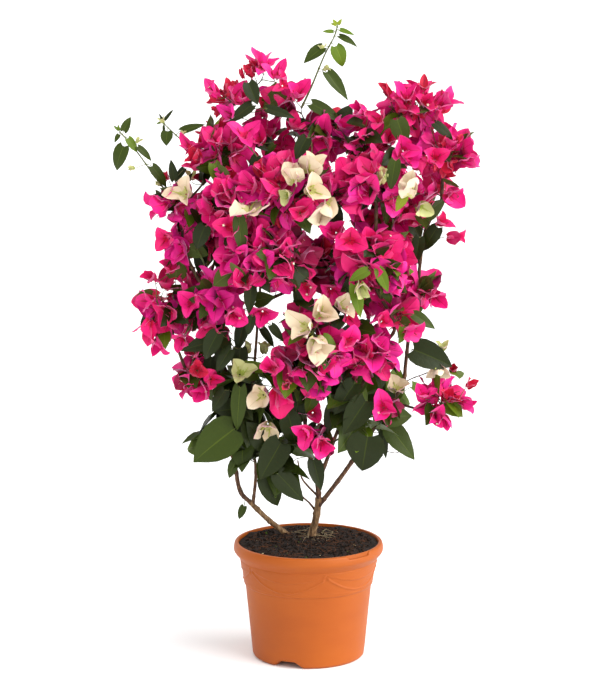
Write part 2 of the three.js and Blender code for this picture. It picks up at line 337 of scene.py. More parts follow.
pot = {
    "colour": paint(163, 78, 8),
    "lightColour": paint(170, 85, 11),
    "darkColour": paint(156, 72, 6),
    "columns": 420,
    "rimFoot": 0.1405,  # where the rim's underside meets the collar
    "rimInner": 0.0983,
    "collarTop": 0.0954,
    "collarFoot": 0.1045,
    "collarBottom": 0.0903,
    "wallTop": 0.0885,
    "foot": 0.0785,
    "footChamfer": 0.0034,
    "wall": 0.0024,
    "padRadius": 0.022,
    "footRing": 0.011,
    "underFloor": 0.0065,
    "floorTop": 0.0095,
    "notches": (-112.4, 7.6, 127.6),  # degrees from +X
    "notchFoot": 0.046,
    "notchTop": 0.021,
    "notchHeight": 0.0084,
    "slots": (-47.5, 132.5),
    "slotLength": 0.043,
    "slotLip": 0.1007,  # the thin lip left standing inside each slot
    "slotBottom": 0.1592,
    "swags": 5,
    "swagTurn": -75.0,  # degrees from +X to a knot between two swags
    "cordWidth": 0.0011,
    "cordHeight": 0.0011,
    # each cord: height of its ends, how far its middle hangs below them, share of the full relief
    "cords": ((0.1335, 0.0225, 1.0), (0.1375, 0.0115, 0.55), (0.1115, 0.0045, 0.3)),
    "knotLeaves": ((0.75, -0.003, 0.002), (-0.55, 0.003, -0.0015), (0.2, -0.0045, -0.004)),  # tilt, aside, up
    "flute": 0.013,  # how high up the wall a notch lifts it
    "slotEase": 0.0022,
    "finishDrift": 0.00015,  # how far the wall is from perfectly round
}


def roundedProfile(corners, fine, coarse):
    # corners: (radius, height, fillet); the rows of the turned shape, close together on the collar
    rows = []
    for i, (radius, height, fillet) in enumerate(corners):
        here = np.array([radius, height])
        if fillet == 0:
            rows.append(here)
            continue
        before, after = np.array(corners[i - 1][:2]), np.array(corners[i + 1][:2])
        a = here + unit(before - here) * min(fillet, np.linalg.norm(before - here) * 0.48)
        b = here + unit(after - here) * min(fillet, np.linalg.norm(after - here) * 0.48)
        for t in np.linspace(0, 1, 6):
            rows.append((1 - t) ** 2 * a + 2 * t * (1 - t) * here + t * t * b)
    filled = [rows[0]]
    for a, b in zip(rows, rows[1:]):
        inHeight = min(a[1], b[1]) > pot["collarFoot"] - 0.001 and max(a[1], b[1]) < pot["rimFoot"] + 0.001
        onCollar = inHeight and min(a[0], b[0]) > pot["collarBottom"] - 0.0005
        longest = fine if onCollar else coarse
        pieces = max(1, int(math.ceil(np.linalg.norm(b - a) / longest)))
        for k in range(1, pieces + 1):
            filled.append(a + (b - a) * k / pieces)
    return np.array(filled)


def turnFrom(turns, middle):
    # signed angle from a middle in degrees
    return (turns - math.radians(middle) + math.pi) % (2 * math.pi) - math.pi


def swagRelief(turns, heights, radius):
    # two cords that hang in arcs from knots, a drape above them and small leaves at each knot
    spread = 2 * math.pi / pot["swags"]
    share = (turnFrom(turns, pot["swagTurn"]) / spread) % 1.0
    sag = 1 - (2 * share - 1) ** 2
    relief = np.zeros_like(turns)
    ends = np.clip(np.minimum(share, 1 - share) / 0.05, 0, 1)
    for top, drop, height in pot["cords"]:
        slope = 4 * drop * (2 * share - 1) / (spread * radius)
        away = np.abs(heights - (top - drop * sag)) / np.sqrt(1 + slope ** 2)
        relief += height * np.exp(-(away / pot["cordWidth"]) ** 2) * ends
    top, drop, _ = pot["cords"][1]
    relief += 0.7 / (1 + np.exp(-(heights - (top - drop * sag)) / 0.0006))
    near = np.minimum(share, 1 - share) * spread * radius
    side = np.where(share < 0.5, near, -near)
    for tilt, aside, lift in pot["knotLeaves"]:
        x, y = side - aside, heights - pot["rimFoot"] + 0.0065 - lift
        along = x * math.sin(tilt) + y * math.cos(tilt)
        across = x * math.cos(tilt) - y * math.sin(tilt)
        relief += 1.3 * np.exp(-(along / 0.0026) ** 2 - (across / 0.0012) ** 2)
    return np.minimum(relief, 1.6) * pot["cordHeight"]


def potShape():
    low, high = nodeBox("pot")
    top = high[2]
    rim = (high[1] - low[1]) / 2
    foot = pot["rimFoot"]
    ring = pot["foot"] - pot["footRing"]
    corners = [
        (0.0005, 0, 0), (pot["padRadius"], 0, 0.001), (pot["padRadius"] + 0.002, pot["underFloor"], 0.001),
        (ring - 0.002, pot["underFloor"], 0.001), (ring, 0, 0.001),
        (pot["foot"] - pot["footChamfer"], 0, 0.0015), (pot["foot"], pot["footChamfer"], 0.0015),
        (pot["wallTop"], pot["collarFoot"] - 0.001, 0.0007),
        (pot["collarBottom"], pot["collarFoot"] + 0.0008, 0.0008),
        (pot["collarTop"], foot, 0.0016),
        (rim - 0.0006, foot + 0.0105, 0.003), (rim, foot + 0.0155, 0.003),
        (rim - 0.0016, top - 0.0012, 0.0022), (rim - 0.0035, top, 0.001),
        (pot["rimInner"], top, 0.0008), (pot["rimInner"] - 0.0008, foot + 0.006, 0.001),
        (pot["collarTop"] - pot["wall"], foot, 0.001),
        (pot["wallTop"] - pot["wall"], pot["collarFoot"], 0.001),
        (pot["foot"] - pot["wall"], pot["floorTop"], 0.003),
        (0.0005, pot["floorTop"], 0),
    ]
    rows = roundedProfile(corners, 0.0007, 0.006)
    turns = np.arange(pot["columns"]) * 2 * math.pi / pot["columns"]
    radius = np.repeat(rows[:, :1], len(turns), 1)
    height = np.repeat(rows[:, 1:], len(turns), 1)
    turn = np.repeat(turns[None], len(rows), 0)

    outside = np.zeros(radius.shape, bool)
    outside[:np.argmax(rows[:, 0])] = True
    collar = outside & (height > pot["collarFoot"]) & (height < foot)
    fade = np.clip((height - pot["collarFoot"] - 0.0005) / 0.002, 0, 1)
    fade = fade * np.clip((foot - height) / 0.0015, 0, 1)
    radius = radius + np.where(collar, swagRelief(turn, height, radius) * fade, 0)

    for middle in pot["notches"]:
        # the foot lifts off the ground over each notch
        side = np.abs(turnFrom(turn, middle)) * pot["foot"]
        slope = (pot["notchFoot"] - pot["notchTop"]) / 2
        lift = pot["notchHeight"] * np.clip((pot["notchFoot"] / 2 - side) / slope, 0, 1)
        reach = pot["flute"]
        atFoot = (height < reach) & (radius > ring - 0.003) & outside
        height = np.where(atFoot, lift + height * (reach - lift) / reach, height)
    for middle in pot["slots"]:
        # outside the thin lip the rim steps down over each slot
        side = np.abs(turnFrom(turn, middle)) * rim
        share = np.clip((pot["slotLength"] / 2 - side) / pot["slotEase"], 0, 1)
        lip = pot["slotLip"]
        over = (radius > lip) & (height > pot["slotBottom"])
        height = np.where(over, height - share * (height - pot["slotBottom"]), height)
        beside = (radius > pot["rimInner"] - 0.0001) & (radius <= lip) & (height > pot["slotBottom"])
        radius = np.where(beside & (radius > lip - 0.0012), lip, radius)
    spots = np.stack([np.cos(turn) * 0.1, np.sin(turn) * 0.1, height], -1).reshape(-1, 3)
    radius = radius + pot["finishDrift"] * grain(spots, 5, 0.11).reshape(radius.shape)
    points = np.stack([radius * np.cos(turn), radius * np.sin(turn), height], -1)
    return points, len(rows), len(turns)


def potFinish():
    finish = newFinish("potPlastic", pot["colour"], 0.44, 0.30)
    clouds = addNode(finish, "ShaderNodeTexNoise", {"Scale": 9.0, "Detail": 4.0, "Roughness": 0.55})
    join(finish, objectCoordinates(finish, (1, 1, 2.2)), clouds.inputs["Vector"])
    blendColours(finish, clouds.outputs["Fac"], [
        (0.25, pot["darkColour"]), (0.5, pot["colour"]), (0.8, pot["lightColour"]),
    ])
    roughen(finish, 0.0012, 0.00006, 0.3, (1, 1, 1.6), (0.46, 0.58))
    return finish


def makePot():
    points, rows, columns = potShape()
    points = np.concatenate([points.reshape(-1, 3), [[0, 0, 0], [0, 0, pot["floorTop"]]]])
    piece = makePiece("plantPot", points, wrapFaces(rows, columns), [potFinish()])
    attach(piece, "root")
    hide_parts("pot")


makePot()
print("pot made")


compost = {
    "seed": 11,
    "soilColours": [paint(15, 9, 6), paint(29, 18, 11), paint(56, 33, 20)],
    "level": 0.1616,
    "bumps": ((0.0011, 0.035), (0.0006, 0.012), (0.00035, 0.005)),  # height, and size from bump to bump
    "rings": 90,
    "columns": 260,
    # what lies on it: colour, roughness and gloss
    "litter": {
        "Lump": (paint(24, 15, 9), 0.95, 0.2),
        "BarkChip": (paint(66, 40, 24), 0.9, 0.25),
        "Fibre": (paint(84, 50, 28), 0.85, 0.3),
        "PaleBit": (paint(168, 150, 116), 0.8, 0.3),
        "Moss": (paint(74, 92, 34), 0.9, 0.2),
    },
    # lumps: how many, smallest, largest, which kind of litter, flatness
    "scattered": ((1300, 0.0008, 0.0026, 0, 0.7), (260, 0.0006, 0.0019, 1, 0.7),
                  (16, 0.0008, 0.0015, 3, 0.7), (14, 0.0012, 0.0026, 4, 0.5)),
    # strands: how many, length, thickness, which kind of litter
    "fibres": ((190, 0.016, 0.00045, 2), (31, 0.011, 0.0008, 1)),
    "roots": (34, 0.026, 0.00022, 3),
}


def compostHeight(x, y):
    # level with the rim at the back, a little lower round the front
    away = np.hypot(x, y) / (pot["rimInner"] - 0.0016)
    drop = np.clip((away - 0.8) / 0.2, 0, 1)
    front = np.clip(0.5 - y / pot["rimInner"], 0, 1)
    height = compost["level"] - drop ** 1.5 * (0.0006 + 0.0016 * front)
    spots = np.stack([x, y, np.zeros_like(x)], -1)
    for seed, (bump, size) in enumerate(compost["bumps"], 21):
        height = height + bump * grain(spots, seed, size)
    return height


def soilFinish():
    finish = newFinish("compostSoil", compost["soilColours"][1], 0.92, 0.25)
    texture = roughen(finish, 0.004, 0.0012, 0.9, roughRange=(0.75, 1.0))
    blendColours(finish, texture.outputs["Fac"], list(zip((0.34, 0.5, 0.68), compost["soilColours"])))
    return finish


def makeSoil(edge):
    rings, columns = compost["rings"], compost["columns"]
    radius = np.linspace(0.0006, edge, rings)[:, None]
    turn = (np.arange(columns) * 2 * math.pi / columns)[None]
    x, y = radius * np.cos(turn), radius * np.sin(turn)
    points = np.stack([x, y, compostHeight(x, y)], -1).reshape(-1, 3)
    for under, level in ((edge - 0.0005, 0.148), (0.0905, 0.139), (0.087, 0.12)):
        ring = np.stack([under * np.cos(turn[0]), under * np.sin(turn[0]), np.full(columns, level)], -1)
        points = np.concatenate([points, ring])
    points = np.concatenate([points, [[0, 0, compostHeight(0.0, 0.0)], [0, 0, 0.12]]])
    soil = makePiece("compostSurface", points, wrapFaces(rings + 3, columns, inward=True), [soilFinish()])
    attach(soil, "root")
    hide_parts("compost")


def lumpShape():
    # a twenty-sided lump of radius one
    golden = (1 + 5 ** 0.5) / 2
    points = []
    for a in (-1, 1):
        for b in (-golden, golden):
            points += [(a, b, 0), (0, a, b), (b, 0, a)]
    points = unit(points)
    faces = []
    edge = np.linalg.norm(points[:, None] - points[None], axis=-1)
    close = (edge > 0.1) & (edge < 1.1)
    for i in range(12):
        for j in range(i + 1, 12):
            for k in range(j + 1, 12):
                if close[i, j] and close[j, k] and close[i, k]:
                    a, b, c = points[i], points[j], points[k]
                    faces.append((i, j, k) if np.dot(np.cross(b - a, c - a), a) > 0 else (i, k, j))
    return points, np.array(faces)


def spun(clouds, random):
    # each cloud of points turned at random
    count = len(clouds)
    ways = frames(random.normal(size=(count, 3)), random.normal(size=(count, 3)))
    return np.einsum("nij,nvj->nvi", ways, clouds)


def onCompost(random, count, within, middle=(0, 0)):
    away = within * np.sqrt(random.uniform(0, 1, count))
    around = random.uniform(0, 2 * math.pi, count)
    return middle[0] + away * np.cos(around), middle[1] + away * np.sin(around)


def scatterLumps(litter, random, edge, count, small, large, finish, flat=0.7):
    points, faces = lumpShape()
    px, py = onCompost(random, count, edge * 0.93)
    size = random.uniform(small, large, count) * random.uniform(0.5, 1, count)
    squash = random.uniform(0.55, 1.25, (count, 1, 3)) * np.array([1, 1, flat])
    noisy = points[None] * (1 + 0.28 * random.normal(size=(count, len(points), 1)))
    turned = spun(noisy * squash, random)
    spots = np.stack([px, py, compostHeight(px, py) + size * 0.15], -1)
    clouds = turned * size[:, None, None] + spots[:, None]
    faces = faces[None] + (np.arange(count) * len(points))[:, None, None]
    litter.add(clouds.reshape(-1, 3), triangles=faces.reshape(-1, 3), finish=finish)


def layStrands(litter, random, edge, count, length, thick, finish, middle=(0, 0), spread=1.0, lift=0.0012):
    px, py = onCompost(random, count, edge * 0.9 * spread, middle)
    heading = random.uniform(0, 2 * math.pi, count)
    reach = random.uniform(0.4, 1, count) * length
    t = np.linspace(-0.5, 0.5, 6)
    bend = random.normal(0, 0.9, count)[:, None] * t ** 2
    cos, sin = np.cos(heading)[:, None], np.sin(heading)[:, None]
    x = px[:, None] + reach[:, None] * (t * cos - bend * sin)
    y = py[:, None] + reach[:, None] * (t * sin + bend * cos)
    inside = np.hypot(x, y).max(1) < edge * 0.985
    z = compostHeight(x, y) + thick * 0.6 + lift * random.uniform(0, 1, (count, 1)) * (1 - (2 * t) ** 2)
    lines = np.stack([x, y, z], -1)[inside]
    width = thick * random.uniform(0.5, 1, (len(lines), 1)) * (1.05 - (2 * t) ** 4 * 0.6)
    points, quads, tips = tubes(lines, width, 4)
    litter.add(points, quads, tips, finish)


def makeLitter(edge):
    # loose lumps, bark fibres, fine roots, moss and perlite lying on the compost
    random = np.random.default_rng(compost["seed"])
    litter = Heap()
    for count, small, large, finish, flat in compost["scattered"]:
        scatterLumps(litter, random, edge, count, small, large, finish, flat)
    for count, length, thick, finish in compost["fibres"]:
        layStrands(litter, random, edge, count, length, thick, finish)
    foot = boxPlace("main_stem", (0.4, 0.7, 0))
    layStrands(litter, random, edge, *compost["roots"], foot[:2], 0.35, 0.004)
    finishes = [newFinish("compost" + name, colour, roughness, gloss)
                for name, (colour, roughness, gloss) in compost["litter"].items()]
    for finish in finishes:
        roughen(finish, 0.0012, 0.0003, 0.7)
    piece = litter.make("compostBits", finishes, smooth=False)
    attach(piece, "root")


makeSoil(pot["rimInner"] - 0.0012)
makeLitter(pot["rimInner"] - 0.0012)
print("compost made")


# The routes of the limbs in millimetres, as the frame has them, with the radius at each end.
# A limb with a root stands on the compost.
limbs = {
    "main_stem": {"through": [[4, 39, 150], [6, 37, 166], [11, 31, 190], [15, 26, 219]],
                  "radii": (5.5, 4.6), "root": True},
    "leader": {"through": [[15, 26, 214], [12, 23, 246], [3, 18, 279], [0, 14, 294], [-5, 8, 336],
                           [-7, 2, 410]],
               "radii": (3.9, 2.4)},
    "middle_bough": {"through": [[13, 24, 236], [23, 20, 267], [45, 14, 328], [78, 2, 394], [86, -10, 430]],
                     "radii": (2.9, 2.1)},
    "right_bough": {"through": [[15, 26, 208], [51, 24, 257], [92, 23, 320], [133, 20, 384]],
                    "radii": (3.3, 2.7)},
    "right_bough_upper": {"through": [[133, 20, 384], [139, 22, 446], [147, 8, 510]],
                          "radii": (2.7, 2.1)},
    "left_stem": {"through": [[-22, 51, 148], [-31, 47, 161], [-58, 36, 186], [-84, 29, 214]],
                  "radii": (4, 3.4), "root": True},
    "left_bough": {"through": [[-82, 29, 212], [-96, 27, 228], [-102, 24, 260], [-109, 20, 304],
                               [-113, 12, 400]],
                   "radii": (3.1, 2.3)},
    "left_inner_bough": {"through": [[-78, 30, 208], [-74, 26, 262], [-82, 18, 318], [-76, 4, 400],
                                     [-66, -8, 530]],
                         "radii": (2.4, 1.7)},
}
shoots = {
    # leaves: how far along, the way it points in X and Z, its length, its width share and its kind
    # buds: how far along, the way to it in X and Z and how far off it stands
    "top_shoot": {
        "through": [[-10, 2, 770], [4, 0, 800], [21, 0, 841], [34, 0, 866], [39, 0, 881]],
        "radii": (1.5, 0.8),
        "leaves": (
            (0.07, (0.86, -0.44), 0.044, 0.42, "mid"), (0.51, (0.60, -0.80), 0.045, 0.40, "mid"),
            (0.76, (-0.78, -0.58), 0.032, 0.52, "mid"), (0.82, (0.46, -0.88), 0.030, 0.62, "fresh"),
            (0.89, (0.90, -0.40), 0.027, 0.34, "mid"), (0.96, (0.94, -0.32), 0.020, 0.36, "fresh"),
            (0.94, (-0.99, 0.02), 0.014, 0.40, "fresh"), (1.0, (-0.60, 0.80), 0.009, 0.5, "yellow"),
            (1.0, (0.50, 0.85), 0.009, 0.5, "yellow"), (1.0, (-0.95, 0.35), 0.008, 0.5, "yellow"),
        ),
        "buds": ((0.45, (0.90, 0.35), 0.010), (0.70, (-0.50, 0.60), 0.006), (0.28, (-0.65, 0.40), 0.006)),
    },
    "left_shoot": {
        "through": [[-182, 0, 642], [-202, 0, 665], [-229, 0, 703], [-244, 0, 723], [-258, 0, 738]],
        "radii": (1.4, 0.7),
        "leaves": (
            (0.55, (0.66, -0.74), 0.034, 0.40, "mid"), (0.80, (0.78, -0.58), 0.026, 0.36, "mid"),
            (0.86, (-0.42, -0.90), 0.036, 0.54, "mid"), (0.93, (0.60, -0.80), 0.022, 0.50, "fresh"),
            (0.96, (0.42, 0.90), 0.021, 0.52, "mid"), (0.98, (-0.50, -0.80), 0.012, 0.55, "mid"),
            (1.0, (-0.70, 0.70), 0.009, 0.4, "fresh"), (1.0, (-0.20, 0.98), 0.008, 0.4, "fresh"),
        ),
        "buds": ((0.76, (0.50, 0.85), 0.009), (0.56, (-0.90, -0.32), 0.017), (0.22, (-0.70, 0.40), 0.005)),
    },
    "upper_left_shoot": {
        "through": [[-140, 0, 690], [-156, 0, 708], [-172, 0, 725], [-187, 0, 739], [-198, 0, 750]],
        "radii": (1.4, 0.7),
        "leaves": (
            (0.72, (0.95, 0.30), 0.033, 0.32, "mid"), (0.90, (-0.10, -0.98), 0.019, 0.80, "mid"),
            (1.0, (0.60, 0.80), 0.018, 0.24, "dark"), (1.0, (-0.40, 0.85), 0.011, 0.3, "dark"),
            (1.0, (0.05, -1.0), 0.014, 0.24, "dark"), (1.0, (-0.95, -0.10), 0.008, 0.4, "fresh"),
        ),
        "buds": ((0.60, (0.10, 0.98), 0.009), (0.98, (-0.40, 0.50), 0.004)),
    },
}
bark = {
    "oldColours": [paint(76, 54, 36), paint(122, 92, 62), paint(164, 134, 98)],  # on the two stems
    "youngColours": [paint(50, 33, 26), paint(88, 60, 44), paint(132, 98, 70)],
    "sides": 26,
    "step": 0.0016,
    "flare": 0.0016,
    "flareLength": 0.009,
    "ridge": 0.00022,
    "nodeGap": 0.031,
    "nodeSwell": 0.16,
    "sideTwigs": (
        [[10, 32, 199], [1, 27, 212], [-9, 25, 222], [-14, 26, 236]],
        [[13, 25, 222], [-2, 24, 238], [-10, 24, 250], [-15, 22, 274]],
    ),
}


def limbLine(limb, step):
    return catmull(np.array(limb["through"]) / 1000, step)


def limbRadii(limb, line):
    gone = lengthAlong(line)
    share = gone / gone[-1]
    start, end = np.array(limb["radii"]) / 1000
    radii = start + (end - start) * share
    if limb.get("root"):
        radii = radii + bark["flare"] * np.exp(-gone / bark["flareLength"]) * 1.3
    return radii, gone


def barkTube(line, radii, gone, seed):
    # a limb with ridged bark, swollen nodes and a leaf scar at each node
    random = np.random.default_rng(seed)
    sides = bark["sides"]
    ways = unit(np.gradient(line, axis=0))
    across = unit(np.cross(ways, [0.12, 1.0, 0.07]))
    other = np.cross(ways, across)
    turns = np.arange(sides) * 2 * math.pi / sides
    ring = across[:, None] * np.cos(turns)[:, None] + other[:, None] * np.sin(turns)[:, None]
    size = radii.copy()
    bumps = np.zeros((len(line), sides))
    place, side = 0.012, random.uniform(0, 6)
    while place < gone[-1]:
        size = size * (1 + bark["nodeSwell"] * np.exp(-((gone - place) / 0.0026) ** 2))
        aside = (turns[None] - side + math.pi) % (2 * math.pi) - math.pi
        scar = np.exp(-((gone - place) / 0.0016) ** 2)[:, None] * np.exp(-(aside / 0.55) ** 2)
        bumps += 0.30 * scar
        place += bark["nodeGap"] * random.uniform(0.7, 1.3)
        side += 2.4 + random.uniform(-0.3, 0.3)
    base = line[:, None] + ring * size[:, None, None]
    stretched = base * np.array([1, 1, 0.22])
    ridges = grain(stretched.reshape(-1, 3), seed, 0.0042).reshape(bumps.shape)
    fine = grain(stretched.reshape(-1, 3), seed + 1, 0.0018).reshape(bumps.shape)
    deep = bark["ridge"] * (ridges + 0.5 * fine) * np.clip(size / 0.004, 0.35, 1.2)[:, None]
    points = base + ring * (deep + bumps * size[:, None] * 0.55)[..., None]
    return np.concatenate([points.reshape(-1, 3), line[:1], line[-1:]]), wrapFaces(len(line), sides)


def barkFinish(name, colours):
    finish = newFinish(name, colours[1], 0.8, 0.3)
    texture = roughen(finish, 0.003, 0.0004, 0.8, (1, 1, 0.3), (0.65, 0.92))
    blendColours(finish, texture.outputs["Fac"], list(zip((0.33, 0.5, 0.7), colours)))
    return finish


barkOld = barkFinish("barkOld", bark["oldColours"])
barkYoung = barkFinish("barkYoung", bark["youngColours"])


def makeLimbs():
    for number, (name, limb) in enumerate(limbs.items()):
        line = limbLine(limb, bark["step"])
        radii, gone = limbRadii(limb, line)
        points, faces = barkTube(line, radii, gone, 40 + number * 3)
        first, *others = name.split("_")
        title = first + "".join(word.title() for word in others) + "Bark"
        piece = makePiece(title, points, faces, [barkOld if limb.get("root") else barkYoung])
        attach(piece, "root")
        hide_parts(name)

    # two thin side twigs of the main stem
    heap = Heap()
    for corners in bark["sideTwigs"]:
        line = catmull(np.array(corners) / 1000, 0.003)
        points, quads, tips = tubes(line[None], np.linspace(0.0017, 0.0010, len(line))[None], 10)
        heap.add(points, quads, tips, 0)
    piece = heap.make("sideTwigs", [barkYoung])
    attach(piece, "root")


makeLimbs()
print("stems and boughs made:", len(limbs))


crown = {
    "seed": 12,
    "blend": 0.007,  # how much neighbouring masses run together in the crease between them
    # how deep heads lie under the crown's outline, and how far apart they are
    "outer": {"depth": (0.014, 0.036), "spacing": 0.0190},
    "inner": {"depth": (0.030, 0.070), "spacing": 0.0235},
    "leafy": {"depth": (0.010, 0.045), "spacing": 0.030},
    "shallowest": 0.72,  # in a thin mass the least depth is this share of its half thickness
    "placedDepth": 0.003,  # how far under it the placed heads sit at least
    "placedFront": -0.106,  # and they stay behind this Y
    "tries": 130000,
    "headsInSpray": 4,
    "flowersInside": 0.30,  # share of the inner heads with bracts, the others are tufts of leaves
    "flowersInLeafy": 0.0,
    "flowersAtBack": 0.45,  # share in the leafy masses behind this Y
    "backFrom": 0.075,
    # open places right through the crown: X and Z of each middle at Y = 0, and its half sizes
    "hollows": (
        (-0.072, 0.527, 0.010, 0.007), (-0.033, 0.503, 0.020, 0.010), (-0.039, 0.480, 0.013, 0.012),
        (-0.035, 0.452, 0.008, 0.012), (-0.082, 0.468, 0.005, 0.014), (0.012, 0.603, 0.006, 0.012),
        (0.090, 0.632, 0.010, 0.008), (-0.060, 0.806, 0.011, 0.011), (0.110, 0.469, 0.011, 0.012),
        (0.034, 0.326, 0.012, 0.016), (0.135, 0.420, 0.011, 0.030), (-0.188, 0.520, 0.009, 0.012),
        (0.159, 0.597, 0.010, 0.009), (0.055, 0.489, 0.008, 0.010), (-0.140, 0.350, 0.010, 0.012),
        (0.176, 0.622, 0.014, 0.008), (-0.196, 0.380, 0.012, 0.022), (0.135, 0.330, 0.012, 0.012),
    ),
    "hollowSlope": 0.178,  # they drop this much towards the back
    "hollowMargin": 0.011,
    "overhang": -0.005,  # how far past the outline bracts may reach
    "pale": ("cream", "lime"),
    "paleRoom": 0.024,  # no other head grows this close in front of a pale one
    "paleDepth": 0.012,  # and in front means up to this far behind it too
    "drawnIn": 0.020,  # the most that a head is drawn in
}
